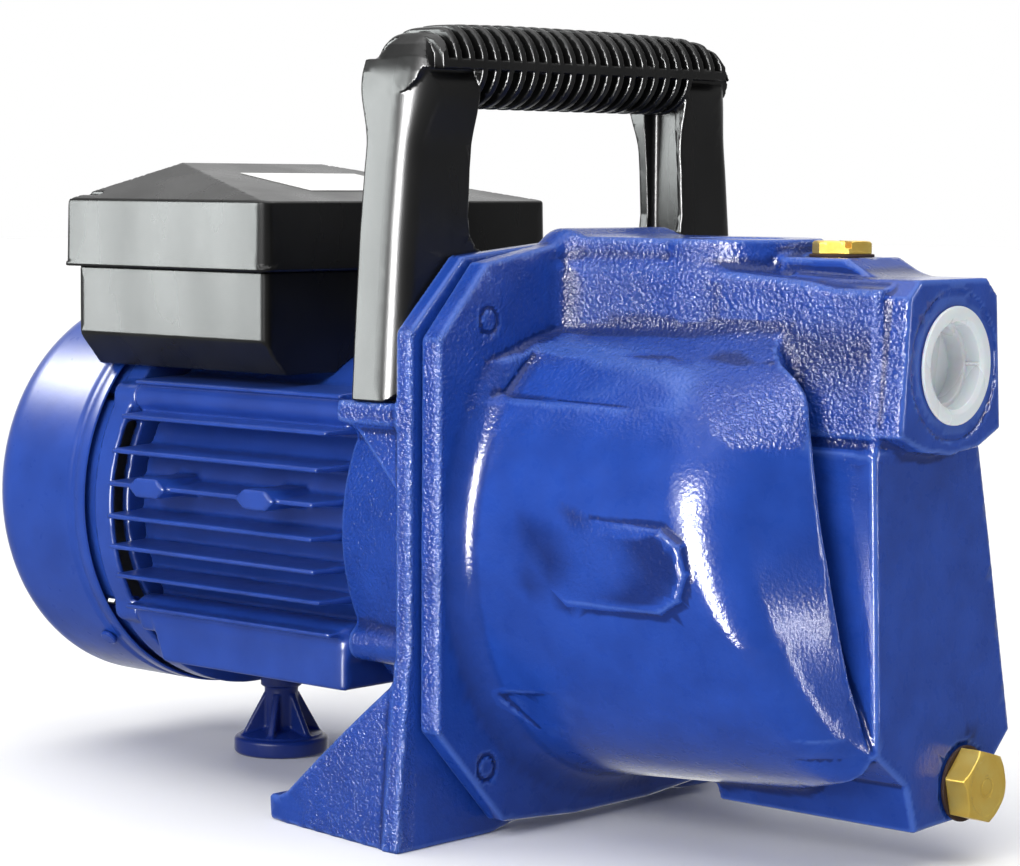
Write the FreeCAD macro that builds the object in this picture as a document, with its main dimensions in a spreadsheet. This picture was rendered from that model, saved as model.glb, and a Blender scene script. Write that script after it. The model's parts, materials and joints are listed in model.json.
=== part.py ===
"""A shallow well jet pump: cast casing, bracket, motor, terminal box and carrying handle.

Millimetres.  +X runs along the shaft towards the suction port, +Z is up.  The origin is on the
ground at the middle of the pump's length and width.  Most shapes are drawn with X measured from
the joint face between casing and bracket, and placed at flange_x.
"""
import math
import os
import re

import FreeCAD
import Part
import Sketcher

SIZES = [
    # frame
    ("flange_x", 48.4), ("axis_z", 101),
    # casing
    ("flange_t", 9.4), ("flange_half", 90), ("side_low", 40.5), ("side_high", 170.5),
    ("shoulder_half", 67), ("shoulder_z", 195), ("crown_half", 23), ("crown_z", 200),
    ("heel_half", 57), ("heel_z", 6), ("keel_z", 3.5),
    ("drum_r", 87), ("drum_mid_r", 81), ("drum_neck_r", 62), ("drum_end", 112), ("skin", 6),
    ("cavity_end", 103), ("front_x", 139.6), ("block_x", 60),
    ("boss_x", 149), ("suction_z", 164.5), ("port_r", 15.15), ("port_depth", 18),
    ("boss_half", 25.5), ("boss_low", 136), ("boss_high", 192), ("channel_x", 121),
    ("channel_r", 11), ("beam_half", 29), ("deck_z", 203.5), ("outlet_x", 62),
    ("outlet_boss_r", 29), ("filler_x", 104.5), ("filler_seat_z", 198), ("filler_r", 6.6),
    ("drain_y", 23), ("drain_z", 25.8), ("drain_r", 8.33), ("nozzle_r", 10),
    ("bolt_y", 66), ("bolt_z", 75), ("bolt_r", 4), ("bolt_gap", 0.3), ("bolt_depth", 8),
    ("bolt_head_r", 7.5), ("bolt_head_t", 5.3), ("washer_r", 8), ("washer_t", 1.6),
    ("ring_r", 85.7), ("ring_wire", 1.4), ("ring_seat", 1.7),
    # bracket
    ("plate_t", 7.3), ("plate_half", 93.5), ("foot_half", 99), ("foot_inner", 51.5),
    ("foot_rear", 72), ("foot_t", 9), ("foot_rear_half", 90), ("web_top", 56),
    ("web_outer", 93), ("web_t", 8), ("hole_y", 72), ("hole_x", 38), ("hole_r", 5),
    ("bell_end", 57), ("bell_r", 76), ("bell_end_r", 70), ("spigot_r", 56.8),
    ("spigot_t", 5), ("hub_rear", 48), ("hub_r", 26), ("front_seat_r", 20.05),
    ("seal_seat_r", 14.2), ("lug_z", 148.5), ("lug_t", 8), ("lug_w", 16), ("lug_in", 75),
    ("window_half", 16),
    # motor
    ("frame_rear", 168), ("core_r", 63), ("bore_r", 57), ("fin_r", 81.5), ("fin_t", 2.4),
    ("rod_y", 60), ("rod_z", 40), ("rod_r", 2.5), ("rib_r", 5.5),
    ("base_half", 46), ("base_z", 41), ("base_front", 60), ("base_rear", 154),
    ("stack_rear", 142), ("stack_front", 82), ("stator_r", 56.9), ("rotor_r", 30.5),
    ("stator_in", 31), ("end_ring_t", 8), ("end_ring_in", 21), ("winding_t", 18),
    ("winding_r", 54), ("winding_in", 34), ("rear_seat_r", 17.55), ("shield_r", 75),
    ("cover_r", 76), ("cover_front", 194),
    ("cover_rear", 247), ("cover_skin", 1.2), ("cover_round", 18), ("grille_r", 3.1),
    # terminal box
    ("box_rear", 192), ("box_front", 93), ("box_half", 66), ("box_low", 153.5),
    ("box_rim", 189.5), ("box_floor", 168), ("box_shelf", 178), ("box_wall", 2.6),
    ("lid_rear", 198), ("lid_front", 90), ("lid_half", 71), ("lid_side", 213.5),
    ("lid_top", 226), ("lid_end", 16), ("lid_slope", 34), ("post_in", 9), ("post_r", 4.6),
    ("gland_x", 120), ("gland_z", 180), ("gland_r", 6.1), ("label_t", 0.3),
    # handle
    ("grip_x", 17.5), ("grip_z", 260.8), ("grip_r", 14.8), ("grip_core", 11),
    ("leg_rear", 27), ("leg_front", 8), ("leg_in", 56), ("leg_out", 91), ("leg_low", 151.5),
    ("bar_low", 183), ("bar_top", 197), ("screw_y", 81), ("screw_r", 2.5), ("head_room", 9.5),
    # rear foot
    ("stand_x", 159.5), ("stand_r", 18.3), ("stand_stem", 6.5),
    # plugs and cap
    ("filler_head", 10.1), ("filler_head_t", 4.2), ("drain_head", 12.7), ("drain_head_t", 8.5),
    ("stem_depth", 11), ("slack", 0.08),
    ("cap_flange", 19), ("cap_depth", 12),
]

FIN_LEVELS = (-37.5, -25.5, -14.5, -3, 9, 21, 33.5, 46)
GRILLE_RINGS = ((10, 18), (16, 29), (22, 40), (28, 51))
GRIP_HALF, GRIP_RIBS, RIB_WIDTH = 58, 18, 3
FILLER_TURN, SLOT_TURN, DRAIN_TURN = 18.7, -41.3, 14

doc = FreeCAD.newDocument("JetPump")
sheet = doc.addObject("Spreadsheet::Sheet", "Sheet")
nodes = {}


def fill_sheet():
    """Write each driving dimension in a row of its own, with its alias."""
    for row, (alias, size) in enumerate(SIZES, start=1):
        sheet.set("A%d" % row, alias)
        sheet.set("B%d" % row, str(size))
        sheet.setAlias("B%d" % row, alias)
    doc.recompute()


def full(expression):
    """Return an expression with each alias written as the sheet's own."""
    return re.sub(r"[a-z][a-z_]{2,}", r"Sheet.\g<0>", str(expression))


def number(expression):
    """Work out an expression as a plain number."""
    return float(sheet.evalExpression(full(expression)))


def bind(item, path, expression):
    """Tie a property of an object to the sheet."""
    item.setExpression(path, full(expression))


def place(item, spot, raised=True):
    """Place an object at a spot measured from the joint face, on the shaft's axis if raised."""
    along, across, up = spot
    bind(item, "Placement.Base.x", "flange_x + (%s)" % along)
    bind(item, "Placement.Base.y", across)
    bind(item, "Placement.Base.z", "axis_z + (%s)" % up if raised else up)


def new_body(name, raised=False, spot=("0", "0", "0")):
    """Start the body of a sub-part."""
    body = doc.addObject("PartDesign::Body", name)
    body.Label = name
    place(body, spot, raised)
    nodes[name] = body
    return body


def origin_item(body, role):
    """Find a plane or an axis of a body's own origin."""
    return next(item for item in body.Origin.OriginFeatures if item.Role == role)


def sketch_on(body, role, offset="0", shift=("0", "0")):
    """Attach a sketch to an origin plane, moved off it and in it."""
    sketch = body.newObject("Sketcher::SketchObject", body.Name + "Sketch")
    sketch.AttachmentSupport = [(origin_item(body, role), "")]
    sketch.MapMode = "FlatFace"
    for letter, distance in zip("xyz", (shift[0], shift[1], offset)):
        bind(sketch, "AttachmentOffset.Base.%s" % letter, distance)
    return sketch


def hold(sketch, kind, line, point, expression):
    """Hold one point of a sketch at a bound distance from the sketch's origin."""
    rule = Sketcher.Constraint(kind, -1, 1, line, point, number(expression))
    index = sketch.addConstraint(rule)
    bind(sketch, "Constraints[%d]" % index, expression)


def poly(*corners):
    """Return a shape that draws a closed outline of straight edges."""
    def draw(sketch):
        first = sketch.GeometryCount
        spots = [FreeCAD.Vector(number(u), number(v), 0) for u, v in corners]
        edges = [Part.LineSegment(a, b) for a, b in zip(spots, spots[1:] + spots[:1])]
        sketch.addGeometry(edges, False)
        for index, (across, up) in enumerate(corners):
            following = first + (index + 1) % len(corners)
            joint = Sketcher.Constraint("Coincident", first + index, 2, following, 1)
            sketch.addConstraint(joint)
            hold(sketch, "DistanceX", first + index, 1, across)
            hold(sketch, "DistanceY", first + index, 1, up)
    return draw


def box(low_u, high_u, low_v, high_v):
    """Return a shape that draws a rectangle."""
    return poly((low_u, low_v), (high_u, low_v), (high_u, high_v), (low_u, high_v))


def disc(across, up, radius):
    """Return a shape that draws a circle."""
    def draw(sketch):
        middle = FreeCAD.Vector(number(across), number(up), 0)
        ring = Part.Circle(middle, FreeCAD.Vector(0, 0, 1), number(radius))
        line = sketch.addGeometry(ring, False)
        hold(sketch, "DistanceX", line, 3, across)
        hold(sketch, "DistanceY", line, 3, up)
        index = sketch.addConstraint(Sketcher.Constraint("Radius", line, number(radius)))
        bind(sketch, "Constraints[%d]" % index, radius)
    return draw


def feature(body, kind, sketch, length=None, flip=False, middle=False):
    """Add one sketched feature to a body."""
    made = body.newObject("PartDesign::" + kind, body.Name + kind)
    made.Profile = sketch
    if length is not None:
        bind(made, "Length", length)
        made.Reversed = flip
        made.Midplane = middle
    return made


def pad(body, role, shapes, length, offset="0", flip=False, middle=False):
    """Add material by extruding shapes off an origin plane."""
    sketch = sketch_on(body, role, offset)
    for shape in shapes:
        shape(sketch)
    return feature(body, "Pad", sketch, length, flip, middle)


def cut(body, role, shapes, length, offset="0", flip=False, middle=False):
    """Take material away by extruding shapes, and check that some went."""
    doc.recompute()
    before = body.Shape.Volume
    sketch = sketch_on(body, role, offset)
    for shape in shapes:
        shape(sketch)
    made = feature(body, "Pocket", sketch, length, flip, middle)
    doc.recompute()
    if body.Shape.Volume > before - 1e-3:
        raise RuntimeError("a cut in %s takes nothing away" % body.Label)
    return made


def turn(body, corners, kind="Revolution", height="0", along="0", axis="H_Axis", role="XZ_Plane"):
    """Revolve an outline about the sketch's axis."""
    sketch = sketch_on(body, role, shift=(along, height))
    poly(*corners)(sketch)
    made = feature(body, kind, sketch)
    made.ReferenceAxis = (sketch, [axis])
    made.Angle = 360
    return made


def turned(name, corners):
    """Make a sub-part by revolving an outline of (x, radius) corners about the shaft's axis."""
    body = new_body(name, raised=True)
    turn(body, corners)
    return body


def repeat(body, made, count, role="X_Axis"):
    """Repeat a feature evenly about an axis of the body's origin."""
    pattern = body.newObject("PartDesign::PolarPattern", body.Name + "Pattern")
    pattern.Originals = [made]
    pattern.Axis = (origin_item(body, role), [""])
    pattern.Angle = 360
    pattern.Occurrences = count
    body.Tip = pattern
    return pattern


def edge_names(body, test):
    """Name the edges of a body that pass a test of their middle point and themselves."""
    doc.recompute()
    found = []
    for index, edge in enumerate(body.Tip.Shape.Edges, start=1):
        box_of = edge.BoundBox
        if test(box_of.Center, box_of, edge):
            found.append("Edge%d" % index)
    return found


def dress(body, kind, size, test):
    """Fillet or chamfer the edges that pass a test."""
    names = edge_names(body, test)
    if not names:
        raise RuntimeError("no edge of %s passes the test" % body.Label)
    base = body.Tip
    made = body.newObject("PartDesign::" + kind, body.Name + kind)
    made.Base = (base, names)
    bind(made, "Radius" if kind == "Fillet" else "Size", size)
    return made


def rod(name, radius, length, spot, turned_by=None, raised=True):
    """Make a cylinder that starts at a spot and runs along +Z, or as it is turned."""
    item = doc.addObject("Part::Cylinder", name)
    bind(item, "Radius", radius)
    bind(item, "Height", length)
    if turned_by is not None:
        item.Placement = FreeCAD.Placement(FreeCAD.Vector(), turned_by)
    place(item, spot, raised)
    return item


def hexagon(name, radius, length, spot, turned_by=None, raised=True):
    """Make a hexagonal prism as rod makes a cylinder."""
    item = doc.addObject("Part::Prism", name)
    item.Polygon = 6
    bind(item, "Circumradius", radius)
    bind(item, "Height", length)
    if turned_by is not None:
        item.Placement = FreeCAD.Placement(FreeCAD.Vector(), turned_by)
    place(item, spot, raised)
    return item


def about_z(angle):
    """A turn about the upright axis, in degrees."""
    return FreeCAD.Rotation(FreeCAD.Vector(0, 0, 1), angle)


def ring(name, outer_r, inner_r, length, spot, turned_by=None, raised=True):
    """Make a flat ring as rod makes a cylinder."""
    item = doc.addObject("Part::Cut", name)
    item.Base = rod(name + "Disc", outer_r, length, spot, turned_by, raised)
    item.Tool = rod(name + "Bore", inner_r, length, spot, turned_by, raised)
    return item


def keep(name, item):
    """Label an object as a node."""
    item.Label = name
    nodes[name] = item


def fused(name, items):
    """Fuse touching solids."""
    item = doc.addObject("Part::MultiFuse", name)
    item.Shapes = items
    return item


def group(name, items):
    """Make one node of separate solids."""
    item = doc.addObject("Part::Compound", name)
    item.Links = items
    keep(name, item)
    return item


ALONG_X = FreeCAD.Rotation(FreeCAD.Vector(0, 1, 0), 90)
ALONG_Y = FreeCAD.Rotation(FreeCAD.Vector(1, 0, 0), 90)
CORNERS = [(1, 1), (1, -1), (-1, 1), (-1, -1)]


def mirrored(points):
    """Complete an outline that is the same on both sides of the middle plane."""
    other = [("-(%s)" % across, up) for across, up in reversed(points)]
    return points + other


def pump_casing():
    """The cast casing: flange, drum, front block, top beam, bosses and the water ways."""
    body = new_body("pump_casing")
    flange = mirrored([("flange_half", "side_low"), ("flange_half", "side_high"),
                       ("shoulder_half", "shoulder_z"), ("crown_half", "crown_z")])
    flange += mirrored([("-heel_half", "heel_z"), ("-crown_half", "keel_z")])
    pad(body, "YZ_Plane", [poly(*flange)], "flange_t")
    drum = [("0", "0"), ("0", "drum_r"), ("flange_t", "drum_r"), ("50", "drum_mid_r"),
            ("95", "drum_neck_r"), ("drum_end", "50"), ("drum_end", "0")]
    turn(body, drum, height="axis_z")
    front_block(body)
    top_beam(body)
    cavity = [("-1", "0"), ("-1", "drum_r - skin"), ("4", "drum_r - skin"),
              ("45", "drum_mid_r - skin"), ("88", "drum_neck_r - skin"),
              ("cavity_end", "42"), ("cavity_end", "0")]
    turn(body, cavity, "Groove", height="axis_z")
    seat = [("-1", "ring_r - ring_seat"), ("2.9", "ring_r - ring_seat"),
            ("2.9", "ring_r + ring_seat"), ("-1", "ring_r + ring_seat")]
    turn(body, seat, "Groove", height="axis_z")
    water_ways(body)
    bolts = [disc("%d*bolt_y" % side, "axis_z + %d*bolt_z" % level, "bolt_r + bolt_gap")
             for side, level in CORNERS]
    cut(body, "YZ_Plane", bolts, "bolt_depth", flip=True)


def front_block(body):
    """The block that carries the suction boss and the drain plug, widening to the drum."""
    rear = [("-60", "150"), ("-62", "100"), ("-50", "45"), ("-25", "15"), ("-10", "9"),
            ("25", "9"), ("58", "34"), ("62", "78"), ("60", "106"), ("52", "150")]
    front = [("-29.7", "boss_low"), ("-27.5", "85"), ("-25.7", "41"), ("-8.7", "29"),
             ("-3.5", "13"), ("23.4", "14"), ("51.3", "40"), ("43", "78"), ("37", "106"),
             ("29.8", "boss_low")]
    first = sketch_on(body, "YZ_Plane", "block_x")
    poly(*rear)(first)
    last = sketch_on(body, "YZ_Plane", "front_x")
    poly(*front)(last)
    loft = feature(body, "AdditiveLoft", first)
    loft.Sections = [last]
    loft.Ruled = True


def top_beam(body):
    """The beam over the drum, with the suction boss at its front and the outlet boss on it."""
    beam = [("0", "150"), ("0", "crown_z"), ("33", "deck_z"), ("88", "deck_z"),
            ("94", "filler_seat_z"), ("115", "filler_seat_z"), ("front_x - 6", "boss_high"),
            ("front_x", "boss_high - 4"), ("front_x", "boss_low"), ("95", "boss_low")]
    pad(body, "XZ_Plane", [poly(*beam)], "2*beam_half - 4", middle=True)
    boss = mirrored([("boss_half - 9", "boss_low"), ("boss_half + 2", "boss_low + 12"),
                     ("boss_half - 1", "boss_high - 6"), ("boss_half - 7", "boss_high")])
    pad(body, "YZ_Plane", [poly(*boss)], "boss_x - 105", "105")
    pad(body, "XY_Plane", [disc("outlet_x", "0", "outlet_boss_r")], "30", "deck_z - 30")


def water_ways(body):
    """The ports, the channel from the suction port to the nozzle, and the plug holes."""
    cut(body, "YZ_Plane", [disc("0", "suction_z", "port_r")], "port_depth", "boss_x")
    cut(body, "YZ_Plane", [disc("0", "suction_z", "port_r - 2.5")], "boss_x - 112", "boss_x")
    cut(body, "XY_Plane", [disc("channel_x", "0", "channel_r")], "suction_z - 90", "suction_z")
    cut(body, "YZ_Plane", [disc("0", "axis_z", "nozzle_r")], "channel_x - 100", "channel_x")
    cut(body, "XY_Plane", [disc("outlet_x", "0", "port_r")], "port_depth", "deck_z")
    cut(body, "XY_Plane", [disc("outlet_x", "0", "port_r - 2.5")], "42", "deck_z")
    cut(body, "XY_Plane", [disc("filler_x", "0", "filler_r")], "54", "filler_seat_z")
    cut(body, "XY_Plane", [disc("filler_x", "0", "13")], "10", "filler_seat_z + 10")
    drain = [disc("drain_y", "drain_z", "drain_r")]
    cut(body, "YZ_Plane", drain, "16", "front_x")
    passage = [disc("drain_y", "drain_z", "drain_r - 3")]
    cut(body, "YZ_Plane", passage, "front_x - 40", "front_x")


def casing_oring():
    """The O-ring between casing and bracket."""
    loop = doc.addObject("Part::Torus", "casing_oring")
    bind(loop, "Radius1", "ring_r")
    bind(loop, "Radius2", "ring_wire")
    loop.Placement = FreeCAD.Placement(FreeCAD.Vector(), ALONG_X)
    place(loop, ("1.45", "0", "0"))
    keep("casing_oring", loop)


def flange_fasteners():
    """Four hexagon bolts and washers that hold the casing to the bracket."""
    bolts = []
    washers = []
    for side, level in CORNERS:
        across = "%d*bolt_y" % side
        up = "%d*bolt_z" % level
        under = ("-plate_t - washer_t", across, up)
        head = hexagon("BoltHead", "bolt_head_r", "bolt_head_t",
                       ("-plate_t - washer_t - bolt_head_t", across, up), ALONG_X)
        shank = rod("BoltShank", "bolt_r", "plate_t + bolt_depth + 0.6", under, ALONG_X)
        bolts.append(fused("Bolt", [head, shank]))
        washers.append(ring("Washer", "washer_r", "bolt_r + 0.1", "washer_t", under, ALONG_X))
    group("flange_bolts", bolts)
    group("flange_washers", washers)


def motor_bracket():
    """The cast bracket: plate with two feet, bell, bearing hub, webs and handle lugs."""
    body = new_body("motor_bracket")
    plate = mirrored([("foot_inner", "0"), ("foot_half", "0"), ("plate_half", "60"),
                      ("plate_half", "side_high + 2"), ("shoulder_half + 1.5", "shoulder_z + 2"),
                      ("crown_half", "crown_z + 1")])
    plate += [("-crown_half", "keel_z + 2"), ("crown_half", "keel_z + 2")]
    pad(body, "YZ_Plane", [poly(*plate)], "plate_t", flip=True)
    bell = [("0", "0"), ("0", "bell_r"), ("-plate_t", "bell_r"), ("-bell_end", "bell_end_r"),
            ("-bell_end", "spigot_r"), ("-bell_end - spigot_t", "spigot_r"),
            ("-bell_end - spigot_t", "52"), ("-hub_rear", "52"), ("-hub_rear", "hub_r"),
            ("-60", "hub_r"), ("-60", "0")]
    turn(body, bell, height="axis_z")
    for side in (1, -1):
        pad(body, "XY_Plane", [foot_outline(side)], "foot_t")
        web = poly(("0", "0"), ("-foot_rear + 8", "0"), ("-foot_rear + 8", "foot_t"),
                   ("-plate_t", "web_top"), ("0", "web_top"))
        near = "%d*web_outer %s" % (-side, "" if side > 0 else "- web_t")
        pad(body, "XZ_Plane", [web], "web_t", near)
        lug = box("-40", "-plate_t + 1", "lug_z - lug_t", "lug_z")
        reach = "%d*lug_in %s" % (-side, "- lug_w" if side > 0 else "")
        pad(body, "XZ_Plane", [lug], "lug_w", reach)
        rib = poly(("-36", "lug_z - lug_t"), ("-plate_t + 1", "lug_z - lug_t"),
                   ("-plate_t + 1", "lug_z - 34"))
        pad(body, "XZ_Plane", [rib], "4", "-91" if side > 0 else "87")
    ears = [disc("%d*rod_y" % side, "axis_z + %d*rod_z" % level, "rib_r + 1")
            for side, level in CORNERS]
    pad(body, "YZ_Plane", ears, "bell_end - 6", "-bell_end")
    hub = [("1", "0"), ("1", "seal_seat_r"), ("-9", "seal_seat_r"), ("-9", "9"), ("-12", "9"),
           ("-12", "69"), ("-42", "65"), ("-42", "9.6"), ("-hub_rear", "9.6"),
           ("-hub_rear", "front_seat_r"), ("-61", "front_seat_r"), ("-61", "0")]
    turn(body, hub, "Groove", height="axis_z")
    holes_in_bracket(body)


def foot_outline(side):
    """The outline of one foot pad, seen from above."""
    return poly(("0", "%d*foot_inner" % side), ("0", "%d*foot_half" % side),
                ("-foot_rear + 8", "%d*(foot_rear_half + 1)" % side),
                ("-foot_rear", "%d*foot_rear_half" % side),
                ("-foot_rear", "%d*(foot_inner + 6)" % side))


def holes_in_bracket(body):
    """Bolt holes in the plate and the feet, the windows of the bell and the rod threads."""
    bolts = [disc("%d*bolt_y" % side, "axis_z + %d*bolt_z" % level, "bolt_r + bolt_gap")
             for side, level in CORNERS]
    cut(body, "YZ_Plane", bolts, "plate_t + 2", "1")
    feet = [disc("-hole_x", "%d*hole_y" % side, "hole_r") for side in (1, -1)]
    cut(body, "XY_Plane", feet, "foot_t + 1", flip=True)
    window = box("-38", "-16", "axis_z - window_half", "axis_z + window_half")
    cut(body, "XZ_Plane", [window], "180", middle=True)
    rods = [disc("%d*rod_y" % side, "axis_z + %d*rod_z" % level, "rod_r + 0.1")
            for side, level in CORNERS]
    cut(body, "YZ_Plane", rods, "16", "-bell_end", flip=True)
    screws = [disc("-grip_x", "%d*screw_y" % side, "3.1") for side in (1, -1)]
    cut(body, "XY_Plane", screws, "lug_t + 2", "lug_z + 1")


def hydraulics():
    """Diffuser, venturi tube, nozzle, impeller and its nut."""
    diffuser = turned("diffuser", [
        ("3", "62.5"), ("3", "66"), ("34", "66"), ("38", "30"), ("48", "28"), ("48", "20"),
        ("41.9", "20"), ("41.9", "19"), ("30", "19"), ("30", "62.5")])
    vane = pad(diffuser, "XY_Plane", [poly(("33", "36"), ("44", "36"), ("42", "62"),
                                           ("33", "64"))], "3", middle=True)
    repeat(diffuser, vane, 8)
    turned("venturi_tube", [
        ("42", "17"), ("42", "19.9"), ("48.1", "19.9"), ("48.1", "24"), ("52", "24"),
        ("84", "12"), ("91", "12"), ("91", "9"), ("84", "6.5"), ("78", "6.5")])
    turned("jet_nozzle", [
        ("92.5", "3"), ("92.5", "5"), ("100", "9"), ("100", "13"), ("102.9", "13"),
        ("102.9", "9.9"), ("111", "9.9"), ("111", "8"), ("98", "3")])
    impeller = turned("impeller", [
        ("14", "6.05"), ("14", "59"), ("17", "59"), ("17", "12"), ("34", "9"), ("34", "6.05")])
    shroud = [("24", "16"), ("24", "59"), ("26.5", "59"), ("26.5", "18.6"), ("32", "18.6"),
              ("32", "16")]
    vane = pad(impeller, "YZ_Plane", [poly(("9", "-5"), ("22", "-14"), ("45", "-17"),
                                           ("57", "-14"), ("57", "-11"), ("45", "-14"),
                                           ("22", "-11"), ("9", "-2"))], "8", "16.5")
    repeat(impeller, vane, 6)
    turn(impeller, shroud)
    nut = doc.addObject("Part::Cut", "ImpellerNut")
    nut.Base = hexagon("NutBlank", "8.6", "6", ("34", "0", "0"), ALONG_X)
    nut.Tool = rod("NutHole", "5.05", "6", ("34", "0", "0"), ALONG_X)
    keep("impeller_nut", nut)


def shaft_seal():
    """The mechanical seal behind the impeller and the slinger behind the plate."""
    turned("seal_seat", [("-8.9", "9"), ("-8.9", "14.1"), ("-2", "14.1"), ("-2", "9")])
    turned("seal_head", [("-1.95", "7.05"), ("-1.95", "12.2"), ("3", "12.2"), ("3", "9.5"),
                         ("5", "9.5"), ("5", "7.05")])
    turned("slinger", [("-20", "7.05"), ("-20", "10"), ("-17", "10"), ("-17", "20"),
                       ("-15.5", "20"), ("-15.5", "10"), ("-14", "10"), ("-14", "7.05")])
    start, coil_r = 4.6, 10.6
    coil = doc.addObject("Part::Helix", "SpringPath")
    coil.Pitch = 2.2
    coil.Height = 7.2
    coil.Radius = coil_r
    coil.Placement = FreeCAD.Placement(FreeCAD.Vector(), ALONG_X)
    place(coil, (start, "0", "0"))
    wire = doc.addObject("Part::Circle", "SpringWire")
    wire.Radius = 0.8
    wire.Placement = FreeCAD.Placement(FreeCAD.Vector(), ALONG_Y)
    place(wire, (start, "0", -coil_r))
    spring = doc.addObject("Part::Sweep", "seal_spring")
    spring.Sections = [wire]
    spring.Spine = (coil, [])
    spring.Solid = True
    spring.Frenet = True
    keep("seal_spring", spring)


def rotor():
    """Shaft, rotor core and end rings, fan and its clip."""
    turned("rotor_shaft", [
        ("-214", "0"), ("-214", "6.5"), ("-183", "6.5"), ("-183", "7.5"), ("-170", "7.5"),
        ("-170", "11"), ("-60.1", "11"), ("-60.1", "8.5"), ("-44", "8.5"), ("-44", "7"),
        ("14", "7"), ("14", "6"), ("34", "6"), ("34", "5"), ("44", "5"), ("44", "0")])
    turned("rotor_core", [("-stack_rear", "11.02"), ("-stack_rear", "rotor_r"),
                          ("-stack_front", "rotor_r"), ("-stack_front", "11.02")])
    rings = [ring("EndRing", "rotor_r - 1", "end_ring_in", "end_ring_t", (start, "0", "0"), ALONG_X)
             for start in ("-stack_rear - end_ring_t", "-stack_front")]
    group("rotor_end_rings", rings)
    fan = turned("fan", [("-211", "6.55"), ("-211", "12"), ("-198", "14"), ("-196", "62"),
                         ("-194", "62"), ("-194", "14"), ("-191", "12"), ("-191", "6.55")])
    blade = pad(fan, "XY_Plane", [poly(("-226", "30"), ("-226", "60"), ("-222", "64"),
                                       ("-195", "64"), ("-195", "20"), ("-203", "20"))],
                "2.2", middle=True)
    repeat(fan, blade, 9)
    turned("fan_clip", [("-212.4", "6.6"), ("-212.4", "9.5"), ("-211.1", "9.5"),
                        ("-211.1", "6.6")])


def bearing(name, rear, width, inner_r, outer_r, ball_r, balls):
    """A ball bearing: two races with grooves, and a caged ring of balls."""
    middle = (inner_r + outer_r) / 2
    track = ball_r - 1.1
    notch = ball_r + 0.3
    centre = rear + width / 2
    front = rear + width
    inner_top = middle - track
    outer_low = middle + track
    turned(name + "_inner", [
        (rear, inner_r + 0.02), (rear, inner_top), (centre - notch, inner_top),
        (centre - notch, middle - notch), (centre + notch, middle - notch),
        (centre + notch, inner_top), (front, inner_top), (front, inner_r + 0.02)])
    turned(name + "_outer", [
        (rear, outer_low), (rear, outer_r), (front, outer_r), (front, outer_low),
        (centre + notch, outer_low), (centre + notch, middle + notch),
        (centre - notch, middle + notch), (centre - notch, outer_low)])
    cage = doc.addObject("Part::Torus", "Cage")
    cage.Radius1 = middle
    cage.Radius2 = 0.9
    cage.Placement = FreeCAD.Placement(FreeCAD.Vector(), ALONG_X)
    place(cage, (centre, "0", "0"))
    pieces = [cage]
    for index in range(balls):
        angle = 2 * math.pi * index / balls
        ball = doc.addObject("Part::Sphere", "Ball")
        ball.Radius = ball_r
        across = round(middle * math.cos(angle), 5)
        up = round(middle * math.sin(angle), 5)
        place(ball, (centre, across, up))
        pieces.append(ball)
    keep(name + "_balls", fused(name + "_balls", pieces))


def bearings():
    """The two bearings and the wave washer that loads them."""
    bearing("front_bearing", -60, 12, 8.5, 20, 2.8, 9)
    bearing("rear_bearing", -181, 11, 7.5, 17.5, 2.4, 8)
    turned("wave_washer", [("-182.2", "10.5"), ("-182.2", "17"), ("-181.2", "17"),
                           ("-181.2", "10.5")])


def motor_housing():
    """The finned aluminium frame of the motor, with its base, rod ribs and clip bosses."""
    body = new_body("motor_housing")
    ring = [("-frame_rear", "0"), ("-frame_rear", "core_r"), ("-bell_end", "core_r"),
            ("-bell_end", "0")]
    turn(body, ring, height="axis_z")
    fins = []
    for level in FIN_LEVELS:
        tip = "%.2f" % math.sqrt(number("fin_r") ** 2 - level ** 2)
        fins.append(box("-" + tip, tip, "axis_z + (%s) - fin_t/2" % level,
                        "axis_z + (%s) + fin_t/2" % level))
    pad(body, "YZ_Plane", fins, "frame_rear - bell_end", "-frame_rear")
    ribs = [disc("%d*rod_y" % side, "axis_z + %d*rod_z" % level, "rib_r")
            for side, level in CORNERS]
    pad(body, "YZ_Plane", ribs, "frame_rear - bell_end", "-frame_rear")
    webs = [box("-rod_y", "rod_y", "axis_z + rod_z - 3", "axis_z + rod_z + 3"),
            box("-rod_y", "rod_y", "axis_z - rod_z - 3", "axis_z - rod_z + 3")]
    pad(body, "YZ_Plane", webs, "frame_rear - bell_end", "-frame_rear")
    base = box("-base_half", "base_half", "base_z", "base_z + 16")
    pad(body, "YZ_Plane", [base], "base_rear - base_front", "-base_rear")
    pad(body, "XY_Plane", [disc("-stand_x", "0", "8")], "16", "31")
    for middle in (-147, -90):
        clip = box(middle - 8.5, middle + 8.5, "axis_z + 6", "axis_z + 12")
        pad(body, "XZ_Plane", [clip], "2*fin_r + 4", middle=True)
    cut(body, "YZ_Plane", [disc("0", "axis_z", "bore_r")], "120", "-frame_rear", flip=True)
    rods = [disc("%d*rod_y" % side, "axis_z + %d*rod_z" % level, "rod_r + 0.2")
            for side, level in CORNERS]
    cut(body, "YZ_Plane", rods, "120", "-frame_rear", flip=True)
    cut(body, "XY_Plane", [disc("-stand_x", "0", "4.1")], "13", "30", flip=True)


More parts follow.
